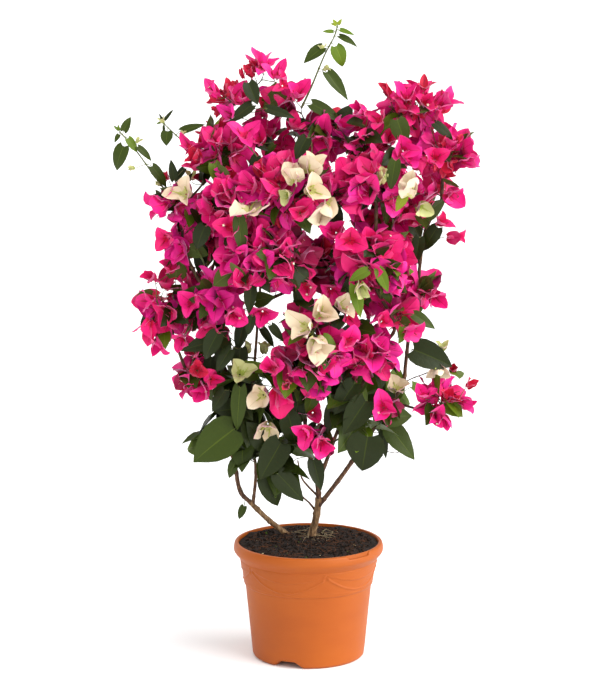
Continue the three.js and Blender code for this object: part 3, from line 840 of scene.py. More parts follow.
# Heads that stand out in each mass, their worked out places rounded to a twentieth of its box: tone, place,
# way across and up, bract length in mm, degrees open.
placedHeads = {
    "upper_front": (
        ("cream", (0.55, 0.05, 0.65), (-0.2, 1.2), 31, 13),
        ("cream", (0.70, 0.10, 0.75), (0.1, 1.2), 31, 20),
        ("cream", (0.70, 0.05, 0.55), (0.3, 0.1), 31, 36),
        ("cream", (0.85, 0.10, 0.40), (0.1, -0.6), 38, 20),
        ("lime", (0.50, 0.05, 0.50), (-0.6, 0.1), 19, 34), ("rose", (0.60, 0.20, 0.25), (0.0, 0.1), 27, 34),
    ),
    "left_front": (("cream", (0.75, 0.05, 0.45), (0.0, 1.2), 36, 60),
                   ("rose", (0.50, 0.20, 0.25), (0.0, 0.1), 27, 34)),
    "right_front": (
        ("cream", (0.85, 0.10, 0.45), (0.1, 1.2), 33, 22),
        ("lime", (1.00, 0.40, 0.30), (0.7, -0.3), 22, 34),
        ("lime", (0.55, 0.15, 0.60), (0.1, 1.1), 21, 16),
        ("fuchsia", (0.80, 0.10, 1.00), (0.1, 0.2), 29, 35),
        ("magenta", (0.85, 0.35, 0.85), (0.2, 0.2), 27, 34),
        ("rose", (0.20, 0.20, -0.10), (0.0, 0.2), 30, 34),
    ),
    "low_front": (
        ("cream", (0.50, 0.05, 0.80), (-0.5, 0.2), 34, 36),
        ("cream", (0.60, 0.05, 0.70), (0.1, -0.5), 34, 32),
        ("cream", (0.65, 0.05, 0.90), (0.1, 0.5), 30, 38),
        ("cream", (0.85, 0.10, 1.00), (0.4, 0.4), 27, 34),
        ("rose", (0.95, 0.20, 0.90), (0.3, 0.2), 24, 32), ("rose", (0.15, 0.10, 0.20), (0.3, -0.8), 36, 22),
        ("fuchsia", (0.10, 0.10, 0.40), (-0.2, 0.4), 33, 28),
        ("crimson", (0.25, 0.10, 0.25), (0.1, 0.2), 18, 24),
        ("fuchsia", (0.95, 0.15, 0.65), (0.2, 0.1), 27, 34),
    ),
    "middle_right": (
        ("lime", (0.35, 0.10, 0.30), (0.2, -0.5), 23, 34),
        ("fuchsia", (0.10, 0.05, 0.95), (0.0, 0.2), 29, 36),
        ("fuchsia", (0.05, 0.10, 0.25), (0.0, -0.2), 28, 33),
    ),
    "middle_front": (
        ("fuchsia", (0.45, 0.20, -0.10), (0.0, -0.2), 30, 36),
        ("rose", (0.30, 0.15, 0.25), (-0.1, 0.3), 26, 34),
        ("rose", (0.85, 0.10, 0.25), (0.0, -0.1), 27, 32),
        ("fuchsia", (0.95, 0.15, 0.00), (0.1, -0.3), 26, 34),
    ),
    "leaves_inner_left": (
        ("lime", (0.40, 0.10, 0.80), (0.1, 0.5), 26, 38),
        ("cream", (0.75, 0.10, 0.60), (-0.3, 0.1), 28, 36),
        ("cream", (0.80, 0.10, 0.30), (0.0, -0.3), 30, 36),
        ("lime", (0.50, 0.20, 1.00), (0.0, 2.2), 18, 14),
        ("lime", (0.75, 0.20, 1.00), (0.2, 2.2), 18, 16),
    ),
    "leaves_outer_right": (
        ("cream", (0.50, 0.30, 0.35), (0.0, -0.7), 27, 34),
        ("lime", (0.60, 0.30, 0.75), (0.2, 1.0), 15, 24),
    ),
    "low_right_tuft": (
        ("cream", (0.80, 0.30, 1.00), (0.1, 0.5), 25, 38),
        ("fuchsia", (0.45, 0.05, 0.60), (0.0, 0.1), 28, 34),
    ),
    "crest_tip": (
        ("fuchsia", (0.75, 0.35, 0.20), (0.2, 1.0), 31, 34),
        ("crimson", (0.30, 0.35, 0.25), (-1.0, 1.1), 18, 20),
        ("crimson", (0.10, 0.40, 0.20), (-0.5, 1.5), 15, 14),
        ("rose", (0.90, 0.35, 0.00), (0.3, 0.3), 22, 40),
    ),
    "crest_left": (
        ("fuchsia", (0.25, 0.35, 0.60), (-0.6, 1.0), 27, 26),
        ("crimson", (0.40, 0.40, 0.65), (0.5, 1.1), 20, 20),
        ("magenta", (0.55, 0.25, 0.15), (-0.7, 0.3), 28, 34),
        ("crimson", (1.10, 0.25, 0.35), (0.2, 0.7), 24, 28),
        ("rose", (0.75, 0.30, 0.45), (-0.2, 0.7), 24, 30),
        ("rose", (0.95, 0.30, -0.10), (0.0, 0.3), 25, 34),
        ("fuchsia", (1.00, 0.30, 0.20), (0.0, -0.2), 27, 34),
    ),
    "crest_inner": (
        ("fuchsia", (0.70, 0.20, 0.55), (0.1, 0.6), 31, 32),
        ("fuchsia", (0.05, 0.20, -0.10), (0.0, 0.7), 31, 34),
        ("rose", (0.60, 0.20, 0.00), (0.3, 0.7), 29, 32), ("rose", (0.35, 0.20, -0.25), (0.0, 0.2), 27, 33),
        ("fuchsia", (-0.20, 0.20, -0.25), (-0.2, 0.5), 29, 32),
        ("rose", (0.10, 0.15, -0.50), (0.1, 0.2), 26, 34),
        ("fuchsia", (0.50, 0.20, -0.40), (0.1, 0.3), 27, 34),
    ),
    "crest_saddle": (
        ("fuchsia", (0.50, 0.30, 0.80), (-0.8, 0.6), 28, 27),
        ("rose", (0.95, 0.20, 0.45), (0.1, 0.3), 27, 34),
    ),
    "crest_right": (
        ("fuchsia", (0.80, 0.30, 0.55), (0.8, 0.9), 30, 32),
        ("crimson", (0.60, 0.40, 0.80), (0.2, 1.6), 20, 20),
        ("crimson", (0.20, 0.40, 0.70), (-0.6, 1.2), 21, 22),
        ("fuchsia", (0.40, 0.30, 0.65), (0.0, 0.8), 29, 32),
        ("rose", (0.20, 0.20, -0.05), (-0.1, 0.2), 27, 34),
        ("rose", (0.10, 0.30, 0.30), (-0.3, 0.4), 25, 32),
    ),
    "right_shoulder": (
        ("fuchsia", (0.70, 0.35, 0.40), (1.4, 0.1), 27, 22),
        ("rose", (0.35, 0.20, 0.45), (0.1, 0.2), 27, 34),
    ),
    "right_edge": (("fuchsia", (0.60, 0.30, 0.50), (0.7, -0.4), 28, 30),),
    "right_flank": (
        ("rose", (0.90, 0.35, 0.20), (1.8, 0.0), 27, 24), ("rose", (0.70, 0.30, 0.50), (0.3, 0.4), 25, 36),
    ),
    "right_side": (("fuchsia", (0.65, 0.25, 0.45), (0.3, -0.3), 28, 32),),
    "right_low_front": (("fuchsia", (0.70, 0.20, 0.40), (0.6, -0.6), 29, 32),),
    "left_shoulder": (
        ("cream", (0.05, 0.20, -0.15), (-0.3, 0.3), 33, 40),
        ("lime", (0.10, 0.30, 0.10), (-0.1, 1.1), 17, 26),
        ("rose", (0.45, 0.20, 0.65), (-0.3, 0.8), 29, 32),
        ("fuchsia", (0.75, 0.20, 0.75), (0.0, 0.8), 29, 33),
        ("fuchsia", (0.10, 0.30, 0.55), (-0.5, 0.6), 23, 34),
        ("crimson", (0.20, 0.25, 0.40), (-0.3, 0.5), 24, 30),
        ("crimson", (0.25, 0.25, 0.10), (-0.1, 0.4), 21, 26),
        ("crimson", (0.40, 0.15, -0.05), (0.1, 0.2), 20, 26),
        ("crimson", (0.60, 0.20, 0.05), (0.0, 0.5), 21, 24),
        ("crimson", (0.80, 0.20, 0.00), (0.2, 0.1), 20, 28),
        ("crimson", (0.90, 0.25, 0.20), (0.1, 0.4), 20, 26),
        ("rose", (0.20, 0.30, 0.25), (-0.3, 0.6), 26, 28),
        ("crimson", (-0.20, 0.35, 0.10), (-0.4, 0.6), 16, 20),
    ),
    "left_flank": (
        ("fuchsia", (0.30, 0.35, 0.55), (-1.3, -0.3), 31, 32),
        ("fuchsia", (0.75, 0.30, -0.80), (-0.2, -0.2), 25, 32),
        ("rose", (0.30, 0.30, -0.10), (-0.2, -0.1), 24, 32),
    ),
    "left_wing": (
        ("rose", (0.25, 0.30, 0.30), (-0.4, -1.1), 31, 25),
        ("fuchsia", (0.30, 0.30, 0.55), (-1.4, 0.1), 28, 25),
        ("fuchsia", (0.35, 0.25, 0.10), (-0.1, -0.9), 26, 23),
        ("rose", (0.50, 0.35, 0.90), (0.2, 0.7), 24, 36),
        ("fuchsia", (0.80, 0.20, 0.55), (-0.2, 0.2), 28, 34),
        ("rose", (1.00, 0.15, 0.30), (0.1, -0.3), 29, 28),
        ("rose", (0.30, 0.35, 0.80), (-0.5, 0.7), 23, 32),
    ),
    "left_wing_inner": (
        ("rose", (0.60, 0.15, 0.10), (0.1, -0.3), 25, 31),
        ("fuchsia", (0.75, 0.15, 0.35), (0.2, -0.1), 29, 33),
        ("fuchsia", (-0.05, 0.30, -0.05), (-0.3, -0.2), 24, 30),
    ),
    "low_left": (
        ("rose", (0.60, 0.25, 0.90), (-0.1, 0.3), 25, 36),
        ("crimson", (0.65, 0.20, 0.60), (0.0, 0.2), 22, 34),
        ("fuchsia", (0.75, 0.25, 0.35), (-0.3, -0.5), 30, 30),
        ("rose", (0.90, 0.20, 0.45), (0.2, 0.1), 22, 34),
    ),
    "low_centre": (
        ("rose", (0.30, 0.05, 1.00), (-0.1, 0.3), 25, 33),
        ("fuchsia", (0.50, 0.10, 0.45), (0.1, -0.2), 26, 35),
        ("fuchsia", (0.20, 0.05, 0.65), (-0.2, 0.0), 25, 36),
    ),
    "low_right": (("rose", (0.65, 0.30, 1.05), (0.1, 0.2), 20, 32),),
    "low_right_wing": (
        ("fuchsia", (0.25, 0.25, 0.60), (-0.2, 0.6), 23, 34),
        ("fuchsia", (0.40, 0.30, 0.30), (0.0, -0.2), 27, 33),
        ("crimson", (0.90, 0.40, 0.75), (0.8, 0.8), 18, 18),
        ("fuchsia", (0.80, 0.35, 0.50), (0.7, -0.1), 26, 26),
        ("crimson", (0.70, 0.35, 1.00), (0.1, 0.8), 17, 18),
        ("fuchsia", (0.55, 0.30, 0.25), (0.2, -0.6), 22, 24),
    ),
}
# Leaves that stand out in each mass, rounded in the same way: place of the foot, degrees to the right of
# straight up, length in mm, width share, kind.
placedLeaves = {
    "leaves_left": (
        ((0.95, 0.15, 0.75), -125, 71, 0.78, "mid"), ((1.00, 0.40, 0.10), -155, 30, 0.50, "mid"),
    ),
    "leaves_inner_left": (
        ((0.15, 0.15, 1.15), -105, 60, 0.46, "dark"), ((0.40, 0.05, 0.65), -175, 62, 0.36, "mid"),
        ((0.15, 0.25, 0.60), -145, 34, 0.60, "dark"), ((0.75, 0.35, 1.20), 145, 30, 0.40, "dark"),
        ((0.70, 0.20, 0.85), -75, 37, 0.42, "fresh"), ((0.15, 0.40, 1.10), -175, 48, 0.50, "dark"),
        ((0.45, 0.40, 1.25), -165, 40, 0.50, "dark"), ((0.40, 0.35, 1.00), -175, 40, 0.60, "dark"),
    ),
    "leaves_centre": (
        ((0.55, 0.10, 0.80), -150, 56, 0.72, "dark"), ((0.55, 0.10, 0.40), 135, 50, 0.60, "dark"),
        ((0.35, 0.20, 0.35), 155, 48, 0.70, "dark"), ((0.70, 0.15, 1.15), 165, 47, 0.66, "dark"),
        ((0.85, 0.20, 1.35), -165, 47, 0.70, "dark"), ((1.10, 0.25, 0.55), 165, 42, 0.55, "dark"),
    ),
    "leaves_right": (
        ((0.60, 0.05, 0.45), -170, 48, 1.10, "dark"), ((0.55, 0.10, 0.90), -145, 52, 0.70, "dark"),
        ((0.35, 0.20, 1.10), -145, 48, 0.66, "dark"), ((0.00, 0.30, 0.80), -170, 38, 0.55, "dark"),
    ),
    "leaves_right_outer": (((0.25, 0.20, 0.95), 140, 55, 0.58, "mid"),
                           ((0.00, 0.35, 0.85), 170, 42, 0.30, "dark")),
    "leaves_outer_right": (((0.00, 0.15, 0.75), 110, 56, 0.72, "dark"),),
    "left_stem": (((-0.10, 0.10, 0.75), -155, 21, 0.56, "mid"),),
    "left_shoulder": (
        ((-0.10, 0.30, 0.10), -10, 28, 0.44, "dark"), ((0.40, 0.10, 0.30), 160, 34, 0.60, "fresh"),
        ((0.00, 0.30, -0.05), 35, 27, 0.34, "dark"), ((0.00, 0.35, 0.20), -140, 23, 0.44, "dark"),
        ((0.90, 0.15, 0.40), -170, 34, 0.50, "dark"),
    ),
    "low_front": (
        ((0.35, 0.40, 0.85), -75, 20, 0.55, "dark"), ((0.10, 0.40, 0.75), 140, 26, 0.50, "dark"),
        ((0.40, 0.40, 1.00), -20, 25, 0.55, "dark"),
    ),
    "left_front": (((0.15, 0.40, 0.20), -155, 34, 0.70, "dark"),),
    "low_left": (((0.90, 0.40, 0.75), -175, 36, 0.55, "dark"),),
    "left_flank": (((1.10, 0.40, -0.35), -175, 37, 0.62, "dark"),
                   ((0.80, 0.50, -0.40), -170, 34, 0.60, "dark")),
    "middle_front": (
        ((0.45, 0.20, 0.50), 160, 35, 0.66, "dark"), ((0.35, 0.40, -0.25), -165, 27, 0.50, "dark"),
        ((0.25, 0.05, 1.00), 175, 46, 0.44, "mid"), ((0.35, 0.35, 0.15), -175, 37, 0.50, "dark"),
    ),
    "left_wing_inner": (((0.50, 0.15, 0.00), -150, 40, 0.64, "dark"),
                        ((0.70, 0.45, -0.30), -145, 37, 0.50, "dark")),
    "middle_right": (
        ((0.30, 0.05, 0.25), 170, 42, 0.46, "fresh"), ((0.55, 0.05, 0.45), 155, 32, 0.50, "fresh"),
        ((0.40, 0.05, 0.45), -115, 28, 0.55, "fresh"),
    ),
    "right_low_front": (((0.85, 0.25, 0.60), 120, 34, 0.50, "mid"),),
    "crest_left": (((0.80, 0.10, 0.85), 155, 30, 0.72, "dark"),
                   ((0.80, 0.10, 0.40), -125, 39, 0.44, "dark")),
    "crest_inner": (
        ((0.05, 0.10, 0.35), 105, 38, 0.36, "dark"), ((-0.30, 0.30, -0.30), 115, 23, 0.42, "dark"),
        ((0.10, 0.30, -0.35), -140, 24, 0.42, "mid"),
    ),
    "upper_front": (((0.65, 0.20, 1.10), -150, 31, 0.66, "dark"),),
    "right_flank": (((0.65, 0.25, 0.35), -145, 39, 0.56, "dark"),
                    ((0.35, 0.25, 0.10), -170, 38, 0.50, "dark")),
    "right_front": (((0.70, 0.10, 0.80), -170, 40, 0.46, "mid"),
                    ((0.80, 0.10, 0.40), -150, 24, 0.60, "yellow")),
    "crest_right": (((0.75, 0.20, 0.25), 125, 34, 0.42, "dark"),
                    ((0.30, 0.10, 0.30), 160, 36, 0.72, "mid")),
}
headRows = [(mass, *row) for mass, rows in placedHeads.items() for row in rows]
leafRows = [(mass, *row) for mass, rows in placedLeaves.items() for row in rows]

allNodes = sorted(frame["nodes"])
shootLeafNames = [n for n in allNodes if n.endswith("shoot_leaves")]
leafyNames = [n for n in allNodes if n.startswith("leaves")]
bractNames = [n for n in allNodes if n not in ("pot", "compost") + tuple(shootLeafNames + leafyNames)
              and n not in limbs and n not in shoots]
massNames = bractNames + leafyNames
massMiddles = {n: (nodeBox(n)[0] + nodeBox(n)[1]) / 2 for n in massNames}
massHalves = {n: (nodeBox(n)[1] - nodeBox(n)[0]) / 2 for n in massNames}
crownRandom = np.random.default_rng(crown["seed"])


def depthIn(spots, names):
    # how far under the masses' common outline each spot lies, the way out, and the nearest mass
    depths, ways = [], []
    for name in names:
        gap = spots - massMiddles[name]
        away = np.linalg.norm(gap, axis=1)
        share = np.linalg.norm(gap / massHalves[name], axis=1)
        depths.append(away * (1 / np.maximum(share, 1e-6) - 1))
        ways.append(unit(gap / massHalves[name] ** 2))
    depths, blend = np.array(depths), crown["blend"]
    owner = np.argmax(depths, axis=0)
    rows = np.arange(len(spots))
    deepest = depths[owner, rows]
    weights = np.exp((depths - deepest) / blend)
    way = unit((np.array(ways) * weights[..., None]).sum(0))
    return deepest + blend * np.log(weights.sum(0)), way, np.array(names)[owner]


def inHollow(spots, margin=0.0):
    inside = np.zeros(len(spots), bool)
    level = spots[:, 2] + crown["hollowSlope"] * spots[:, 1]
    for x, z, wide, tall in crown["hollows"]:
        inside |= ((spots[:, 0] - x) / (wide + margin)) ** 2 + ((level - z) / (tall + margin)) ** 2 < 1
    return inside


def hidesPale(spots, reach):
    # whether a spot lies close in front of a pale head, which has to stay in sight
    hides = np.zeros(len(spots), bool)
    for spot, (_, tone, *_) in zip(placedSpots, headRows):
        gap = spots - spot
        level = gap[:, 2] + crown["hollowSlope"] * gap[:, 1]
        near = (np.hypot(gap[:, 0], level) < reach) & (gap[:, 1] < crown["paleDepth"])
        hides |= near & (tone in crown["pale"])
    return hides


def throwSpots(names, kind, taken=()):
    low = np.min([massMiddles[n] - massHalves[n] for n in names], axis=0)
    high = np.max([massMiddles[n] + massHalves[n] for n in names], axis=0)
    spots = crownRandom.uniform(low, high, (crown["tries"], 3))
    depth, ways, owners = depthIn(spots, names)
    least, most = crown[kind]["depth"]
    thin = np.array([massHalves[n].min() for n in owners]) * crown["shallowest"]
    good = (depth > np.minimum(least, thin)) & (depth < most) & ~inHollow(spots, crown["hollowMargin"])
    good &= ~hidesPale(spots, crown["paleRoom"])
    spots, ways, owners = spots[good], ways[good], owners[good]
    kept, picked, spacing = np.array(list(taken) + [[9, 9, 9]], float), [], crown[kind]["spacing"]
    for i, spot in enumerate(spots):
        if np.min(np.sum((kept - spot) ** 2, axis=1)) > spacing ** 2:
            kept = np.vstack([kept, spot])
            picked.append(i)
    return spots[picked], ways[picked], owners[picked]


def sprayGroups(spots, size):
    # seeded k-means
    count = max(1, len(spots) // size)
    centres = spots[crownRandom.choice(len(spots), count, replace=False)]
    for _ in range(12):
        near = np.argmin(((spots[:, None] - centres[None]) ** 2).sum(-1), axis=1)
        for k in range(count):
            if np.any(near == k):
                centres[k] = spots[near == k].mean(0)
    return near, centres


def setBack(spots):
    # heads that stand clear of the masses go back until they sit on them
    spots = spots.copy()
    for _ in range(16):
        clear = (depthIn(spots, massNames)[0] < crown["placedDepth"]) | (spots[:, 1] < crown["placedFront"])
        spots[clear] += [0, 0.003, -0.003 * crown["hollowSlope"]]
    return spots


placedSpots = setBack(np.array([boxPlace(mass, shares) for mass, _, shares, *_ in headRows]))
placedFeet = np.array([boxPlace(mass, shares) for mass, shares, *_ in leafRows])
placedFeet[:, 1] = np.maximum(placedFeet[:, 1], crown["placedFront"])
leafTurns = np.radians([row[2] for row in leafRows])
outerSpots, outerWays, outerOwners = throwSpots(bractNames, "outer", placedSpots)
innerSpots, innerWays, innerOwners = throwSpots(bractNames, "inner", [*placedSpots, *outerSpots])
leafySpots, leafyWays, leafyOwners = throwSpots(leafyNames, "leafy", placedSpots)
headSpots = np.concatenate([outerSpots, innerSpots, leafySpots, placedSpots, placedFeet])
headWays = np.concatenate([
    outerWays, innerWays, leafyWays, unit([(row[3][0], -0.7, row[3][1]) for row in headRows]),
    unit([(math.sin(turn), -0.4, math.cos(turn)) for turn in leafTurns]),
])
headOwners = np.concatenate([outerOwners, innerOwners, leafyOwners, [row[0] for row in headRows + leafRows]])
# layers: 0 outer, 1 inner, 2 leafy, 3 placed heads, 4 placed leaves
headLayer = np.repeat(np.arange(5), [len(outerSpots), len(innerSpots), len(leafySpots),
                                     len(placedSpots), len(placedFeet)])
headSpray, sprayCentres = sprayGroups(headSpots, crown["headsInSpray"])


def chooseFlowering():
    chance = np.array([1.0, crown["flowersInside"], crown["flowersInLeafy"], 1.0, 0.0])[headLayer]
    chance[(headLayer == 2) & (headSpots[:, 1] > crown["backFrom"])] = crown["flowersAtBack"]
    return crownRandom.uniform(size=len(chance)) < chance


flowering = chooseFlowering()
print("heads: %d outer, %d inner, %d leafy, %d and %d placed, in %d sprays"
      % (*np.bincount(headLayer), len(sprayCentres)))


bracts = {
    "seed": 3,
    "length": (0.026, 0.036),
    "youngLength": (0.016, 0.026),
    "budLength": (0.008, 0.015),
    "widthShare": (0.80, 1.06),
    "narrowIn": {"crest_tip": 0.60, "crest_left": 0.72, "crest_inner": 0.84, "crest_saddle": 0.74,
                 "crest_right": 0.76, "left_shoulder": 0.78, "right_flank": 0.80, "low_right_wing": 0.76,
                 "left_wing": 0.88},
    "open": (26, 66),  # degrees between a bract and its head's axis
    "youngOpen": (12, 32),
    "lean": 0.50,  # how much the heads' axes stray from the way out
    "youngShare": 0.08,
    "youngIn": {"crest_tip": 0.45, "crest_left": 0.45, "crest_inner": 0.25, "crest_saddle": 0.2,
                "crest_right": 0.30, "left_shoulder": 0.42, "left_front": 0.25, "left_flank": 0.2,
                "right_shoulder": 0.16, "low_right_wing": 0.35, "upper_front": 0.15, "low_left": 0.2},
    "crimsonYoung": 0.45,  # share of the young heads that are crimson
    "budsBeside": 2,  # tiny heads beside a young one
    "budsAway": (0.009, 0.017),  # how far from it they stand
    "budStalk": 0.012,
    "budOpen": (8, 34),
    "shootOpen": 22.0,  # on the long shoots
    "shootLength": 0.009,
    "paleRoom": 0.013,  # no other bract's middle lies this close in front of a pale head
    "tubeShare": 0.42,  # a flower tube's share of its head's bract length
    "tubeRadius": 0.0009,
    "openStars": 0.10,  # share of the tubes with an open star
    "tubeColours": {
        "flowerTube": paint(160, 14, 60), "paleFlowerTube": paint(176, 184, 90),
        "flowerStar": paint(222, 214, 186), "budStalk": paint(96, 84, 40),
    },
    "shape": {"rows": 9, "point": 0.62, "round": 0.40, "heart": 0.12, "sweep": 0.12, "fold": (0.0, 0.34),
              "cup": (-0.05, 0.5), "bend": (-0.45, 0.5), "curl": (-0.9, 0.3), "wave": (0.08, 0.26),
              "waves": (1.0, 2.2), "twist": (-0.35, 0.35), "rib": 0.009, "groove": 0.012, "tip": 0.07},
    # tone: its colour, its veins' colour, its heart's colour and its share of the sprays
    "tones": {
        "fuchsia": (paint(222, 21, 122), paint(186, 8, 84), paint(200, 14, 80), 0.36),
        "magenta": (paint(218, 24, 134), paint(174, 6, 84), paint(190, 12, 82), 0.26),
        "rose": (paint(220, 21, 108), paint(188, 10, 74), paint(202, 18, 68), 0.27),
        "crimson": (paint(196, 16, 58), paint(164, 6, 42), paint(182, 14, 40), 0.0),
        "wine": (paint(150, 6, 66), paint(122, 4, 42), paint(136, 6, 40), 0.06),
        "cream": (paint(226, 208, 178), paint(206, 190, 150), paint(200, 200, 130), 0.0),
        "lime": (paint(190, 192, 130), paint(162, 170, 90), paint(156, 170, 74), 0.0),
    },
    "sheen": {"Sheen Weight": 0.9, "Sheen Roughness": 0.35, "Sheen Tint": (1.0, 0.50, 0.80, 1.0)},
    "strays": 0.30,  # share of the heads whose tone isn't their spray's
    "shadedInnerTones": 0.55,  # share of the inner heads given the two darkest tones, painted shade deep in the crown
}
toneNames = list(bracts["tones"])


def headTones(random):
    shares = np.array([tone[3] for tone in bracts["tones"].values()])
    shares = shares / shares.sum()
    tones = random.choice(len(shares), len(sprayCentres), p=shares)[headSpray]
    stray = random.uniform(size=len(tones)) < bracts["strays"]
    tones[stray] = random.choice(len(shares), stray.sum(), p=shares)
    # painted shade: inner heads deep in the crown get the darkest tones, wine or crimson
    deep = (headLayer == 1) & (random.uniform(size=len(tones)) < bracts["shadedInnerTones"])
    tones[deep] = random.choice([toneNames.index("wine"), toneNames.index("crimson")], deep.sum())
    tones[headLayer == 3] = [toneNames.index(row[1]) for row in headRows]
    return tones


def standHeads():
    # the axis, tone, opening and bract length of every head
    random = np.random.default_rng(bracts["seed"])
    count = len(headSpots)
    tones = headTones(random)
    axis = unit(headWays + 0.16 * up + bracts["lean"] * random.normal(size=(count, 3)) / 3 ** 0.5 * 1.7)
    chance = np.array([bracts["youngIn"].get(name, bracts["youngShare"]) for name in headOwners])
    young = (random.uniform(size=count) < chance) & (headLayer < 3)
    crimson = (random.uniform(size=count) < bracts["crimsonYoung"]) & young
    tones[crimson] = toneNames.index("crimson")

    def pick(ofYoung, ofGrown):
        small = random.uniform(*ofYoung, count)
        return np.where(young, small, random.uniform(*ofGrown, count))

    opening = pick(bracts["youngOpen"], bracts["open"])
    size = pick(bracts["youngLength"], bracts["length"])
    byHand = headLayer == 3
    axis[headLayer > 2] = headWays[headLayer > 2]
    size[byHand] = [row[4] * 0.001 for row in headRows]
    opening[byHand] = [row[5] for row in headRows]
    return axis, tones, opening, size, young


headAxis, headTone, headOpening, headSize, headYoung = standHeads()


def drawInHeads():
    # heads whose bracts would reach past the outline sit deeper on their stalks
    free = np.flatnonzero(headLayer < 2)
    rings = frames(headAxis[free], np.tile([0.3, 0.5, 0.8], (len(free), 1)))
    lean = np.radians(headOpening[free])[:, None]
    worst = np.zeros(len(free))
    for around in np.arange(6) * math.pi / 3:
        out = rings[:, :, 0] * math.cos(around) + rings[:, :, 2] * math.sin(around)
        ways = headAxis[free] * np.cos(lean) + out * np.sin(lean)
        tips = headSpots[free] + ways * headSize[free][:, None]
        worst = np.maximum(worst, -depthIn(tips, massNames)[0])
    shift = np.clip(worst - crown["overhang"], 0, crown["drawnIn"])
    headSpots[free] -= headWays[free] * shift[:, None]


drawInHeads()


growth = {
    "seed": 31,
    "lowestStart": 0.235,  # nothing new leaves a limb below this height
    "pathShare": 0.28,  # how much a long way round counts against a start
    "downShare": 1.1,  # how much growing downward counts against it
    "turnShare": 0.30,
    "wander": 0.10,
    "rings": (14, 9, 7),  # on boughs, twigs and stalks
    "sides": (8, 6, 5),
    "tipRadius": 0.00058,
    "power": 2.35,
    "largest": 0.0024,
    "hubDrop": 0.25,  # a bough ends this share of its mass's half height under the middle
    "twigBehind": 0.036,  # a twig ends this far behind and this far under its spray
    "twigUnder": 0.012,
    "stalkBehind": 0.004,  # a stalk ends this far behind its head
    "greenBelow": 0.0011,  # twigs with a smaller radius are green
}


class Tree:
    # every place a new stem can leave from: where it is, its heading, how far along and whose it is
    def __init__(self):
        self.places, self.headings = np.zeros((0, 3)), np.zeros((0, 3))
        self.far, self.owner = np.zeros(0), np.zeros(0, int)
        self.lines, self.parents, self.levels = [], [], []

    def addPlaces(self, places, headings, far, owner):
        self.places = np.concatenate([self.places, places])
        self.headings = np.concatenate([self.headings, headings])
        self.far = np.concatenate([self.far, far])
        self.owner = np.concatenate([self.owner, np.full(len(places), owner)])

    def reach(self, targets, arrive, level, random):
        # joins each target to the tree, the cheapest first, and returns the new stems' numbers
        targets, arrive = np.asarray(targets), unit(arrive)
        best, source = np.full(len(targets), np.inf), np.zeros(len(targets), int)
        numbers = np.full(len(targets), -1)
        first = 0
        while (numbers < 0).any():
            gap = targets[:, None] - self.places[None, first:]
            away = np.linalg.norm(gap, axis=-1)
            turn = 1 - (gap * self.headings[None, first:]).sum(-1) / np.maximum(away, 1e-6)
            cost = (away * (1 + growth["turnShare"] * turn) + growth["pathShare"] * self.far[None, first:]
                    + growth["downShare"] * np.maximum(0, -gap[..., 2]))
            here = cost.argmin(1)
            lowest = cost[np.arange(len(targets)), here]
            better = lowest < best
            best[better] = lowest[better]
            source[better] = here[better] + first
            j = int(np.where(numbers < 0, best, np.inf).argmin())
            i = source[j]
            start, end = self.places[i], targets[j]
            straight = unit(end - start)
            leave = unit(straight + 0.55 * self.headings[i] + growth["wander"] * random.normal(size=3))
            line = bentLine(start, end, leave, unit(arrive[j] + 0.4 * straight), growth["rings"][level])
            far = self.far[i] + lengthAlong(line)
            numbers[j] = len(self.lines)
            self.lines.append(line)
            self.parents.append(self.owner[i])
            self.levels.append(level)
            first = len(self.places)
            self.addPlaces(line[1:], unit(np.gradient(line, axis=0))[1:], far[1:], numbers[j])
        return numbers


def growStems():
    random = np.random.default_rng(growth["seed"])
    tree = Tree()
    for limb in limbs.values():
        line = limbLine(limb, 0.012)
        high = line[:, 2] > growth["lowestStart"]
        far = (line[high, 2] - growth["lowestStart"]) * 0.5
        tree.addPlaces(line[high], unit(np.gradient(line, axis=0))[high], far, -1)
    # a bough to each mass and to each long shoot, then a twig to each spray, then a stalk to each head
    hubs = [massMiddles[name] - [0, 0, growth["hubDrop"] * massHalves[name][2]] for name in massNames]
    ways = [up + 0.3 * random.normal(size=3) for name in massNames]
    for shoot in shoots.values():
        line = np.array(shoot["through"]) / 1000
        hubs.append(line[0])
        ways.append(line[1] - line[0])
    tree.reach(hubs, ways, 0, random)
    spots, ways = [], []
    for k, centre in enumerate(sprayCentres):
        way = unit(headAxis[headSpray == k].sum(0) + 1e-6 * up)
        spots.append(centre - way * growth["twigBehind"] - up * growth["twigUnder"])
        ways.append(way + 0.4 * up)
    tree.reach(spots, ways, 1, random)
    stalks = tree.reach(headSpots - headAxis * growth["stalkBehind"], headAxis + 0.25 * up, 2, random)
    return tree, stalks


tree, stalkOf = growStems()


def stemRadii():
    count = len(tree.lines)
    load, beyond = np.zeros(count), np.zeros(count)
    for number in range(count - 1, -1, -1):
        load[number] += tree.levels[number] == 2
        parent = tree.parents[number]
        if parent >= 0:
            load[parent] += load[number]
            if np.linalg.norm(tree.lines[number][0] - tree.lines[parent][-1]) < 0.004:
                beyond[parent] += load[number]
    tip, power = growth["tipRadius"], 1 / growth["power"]
    wide = np.minimum(tip * np.maximum(load, 1) ** power, growth["largest"])
    return wide, np.minimum(tip * np.maximum(beyond, 1) ** power, wide)


stemWide, stemNarrow = stemRadii()


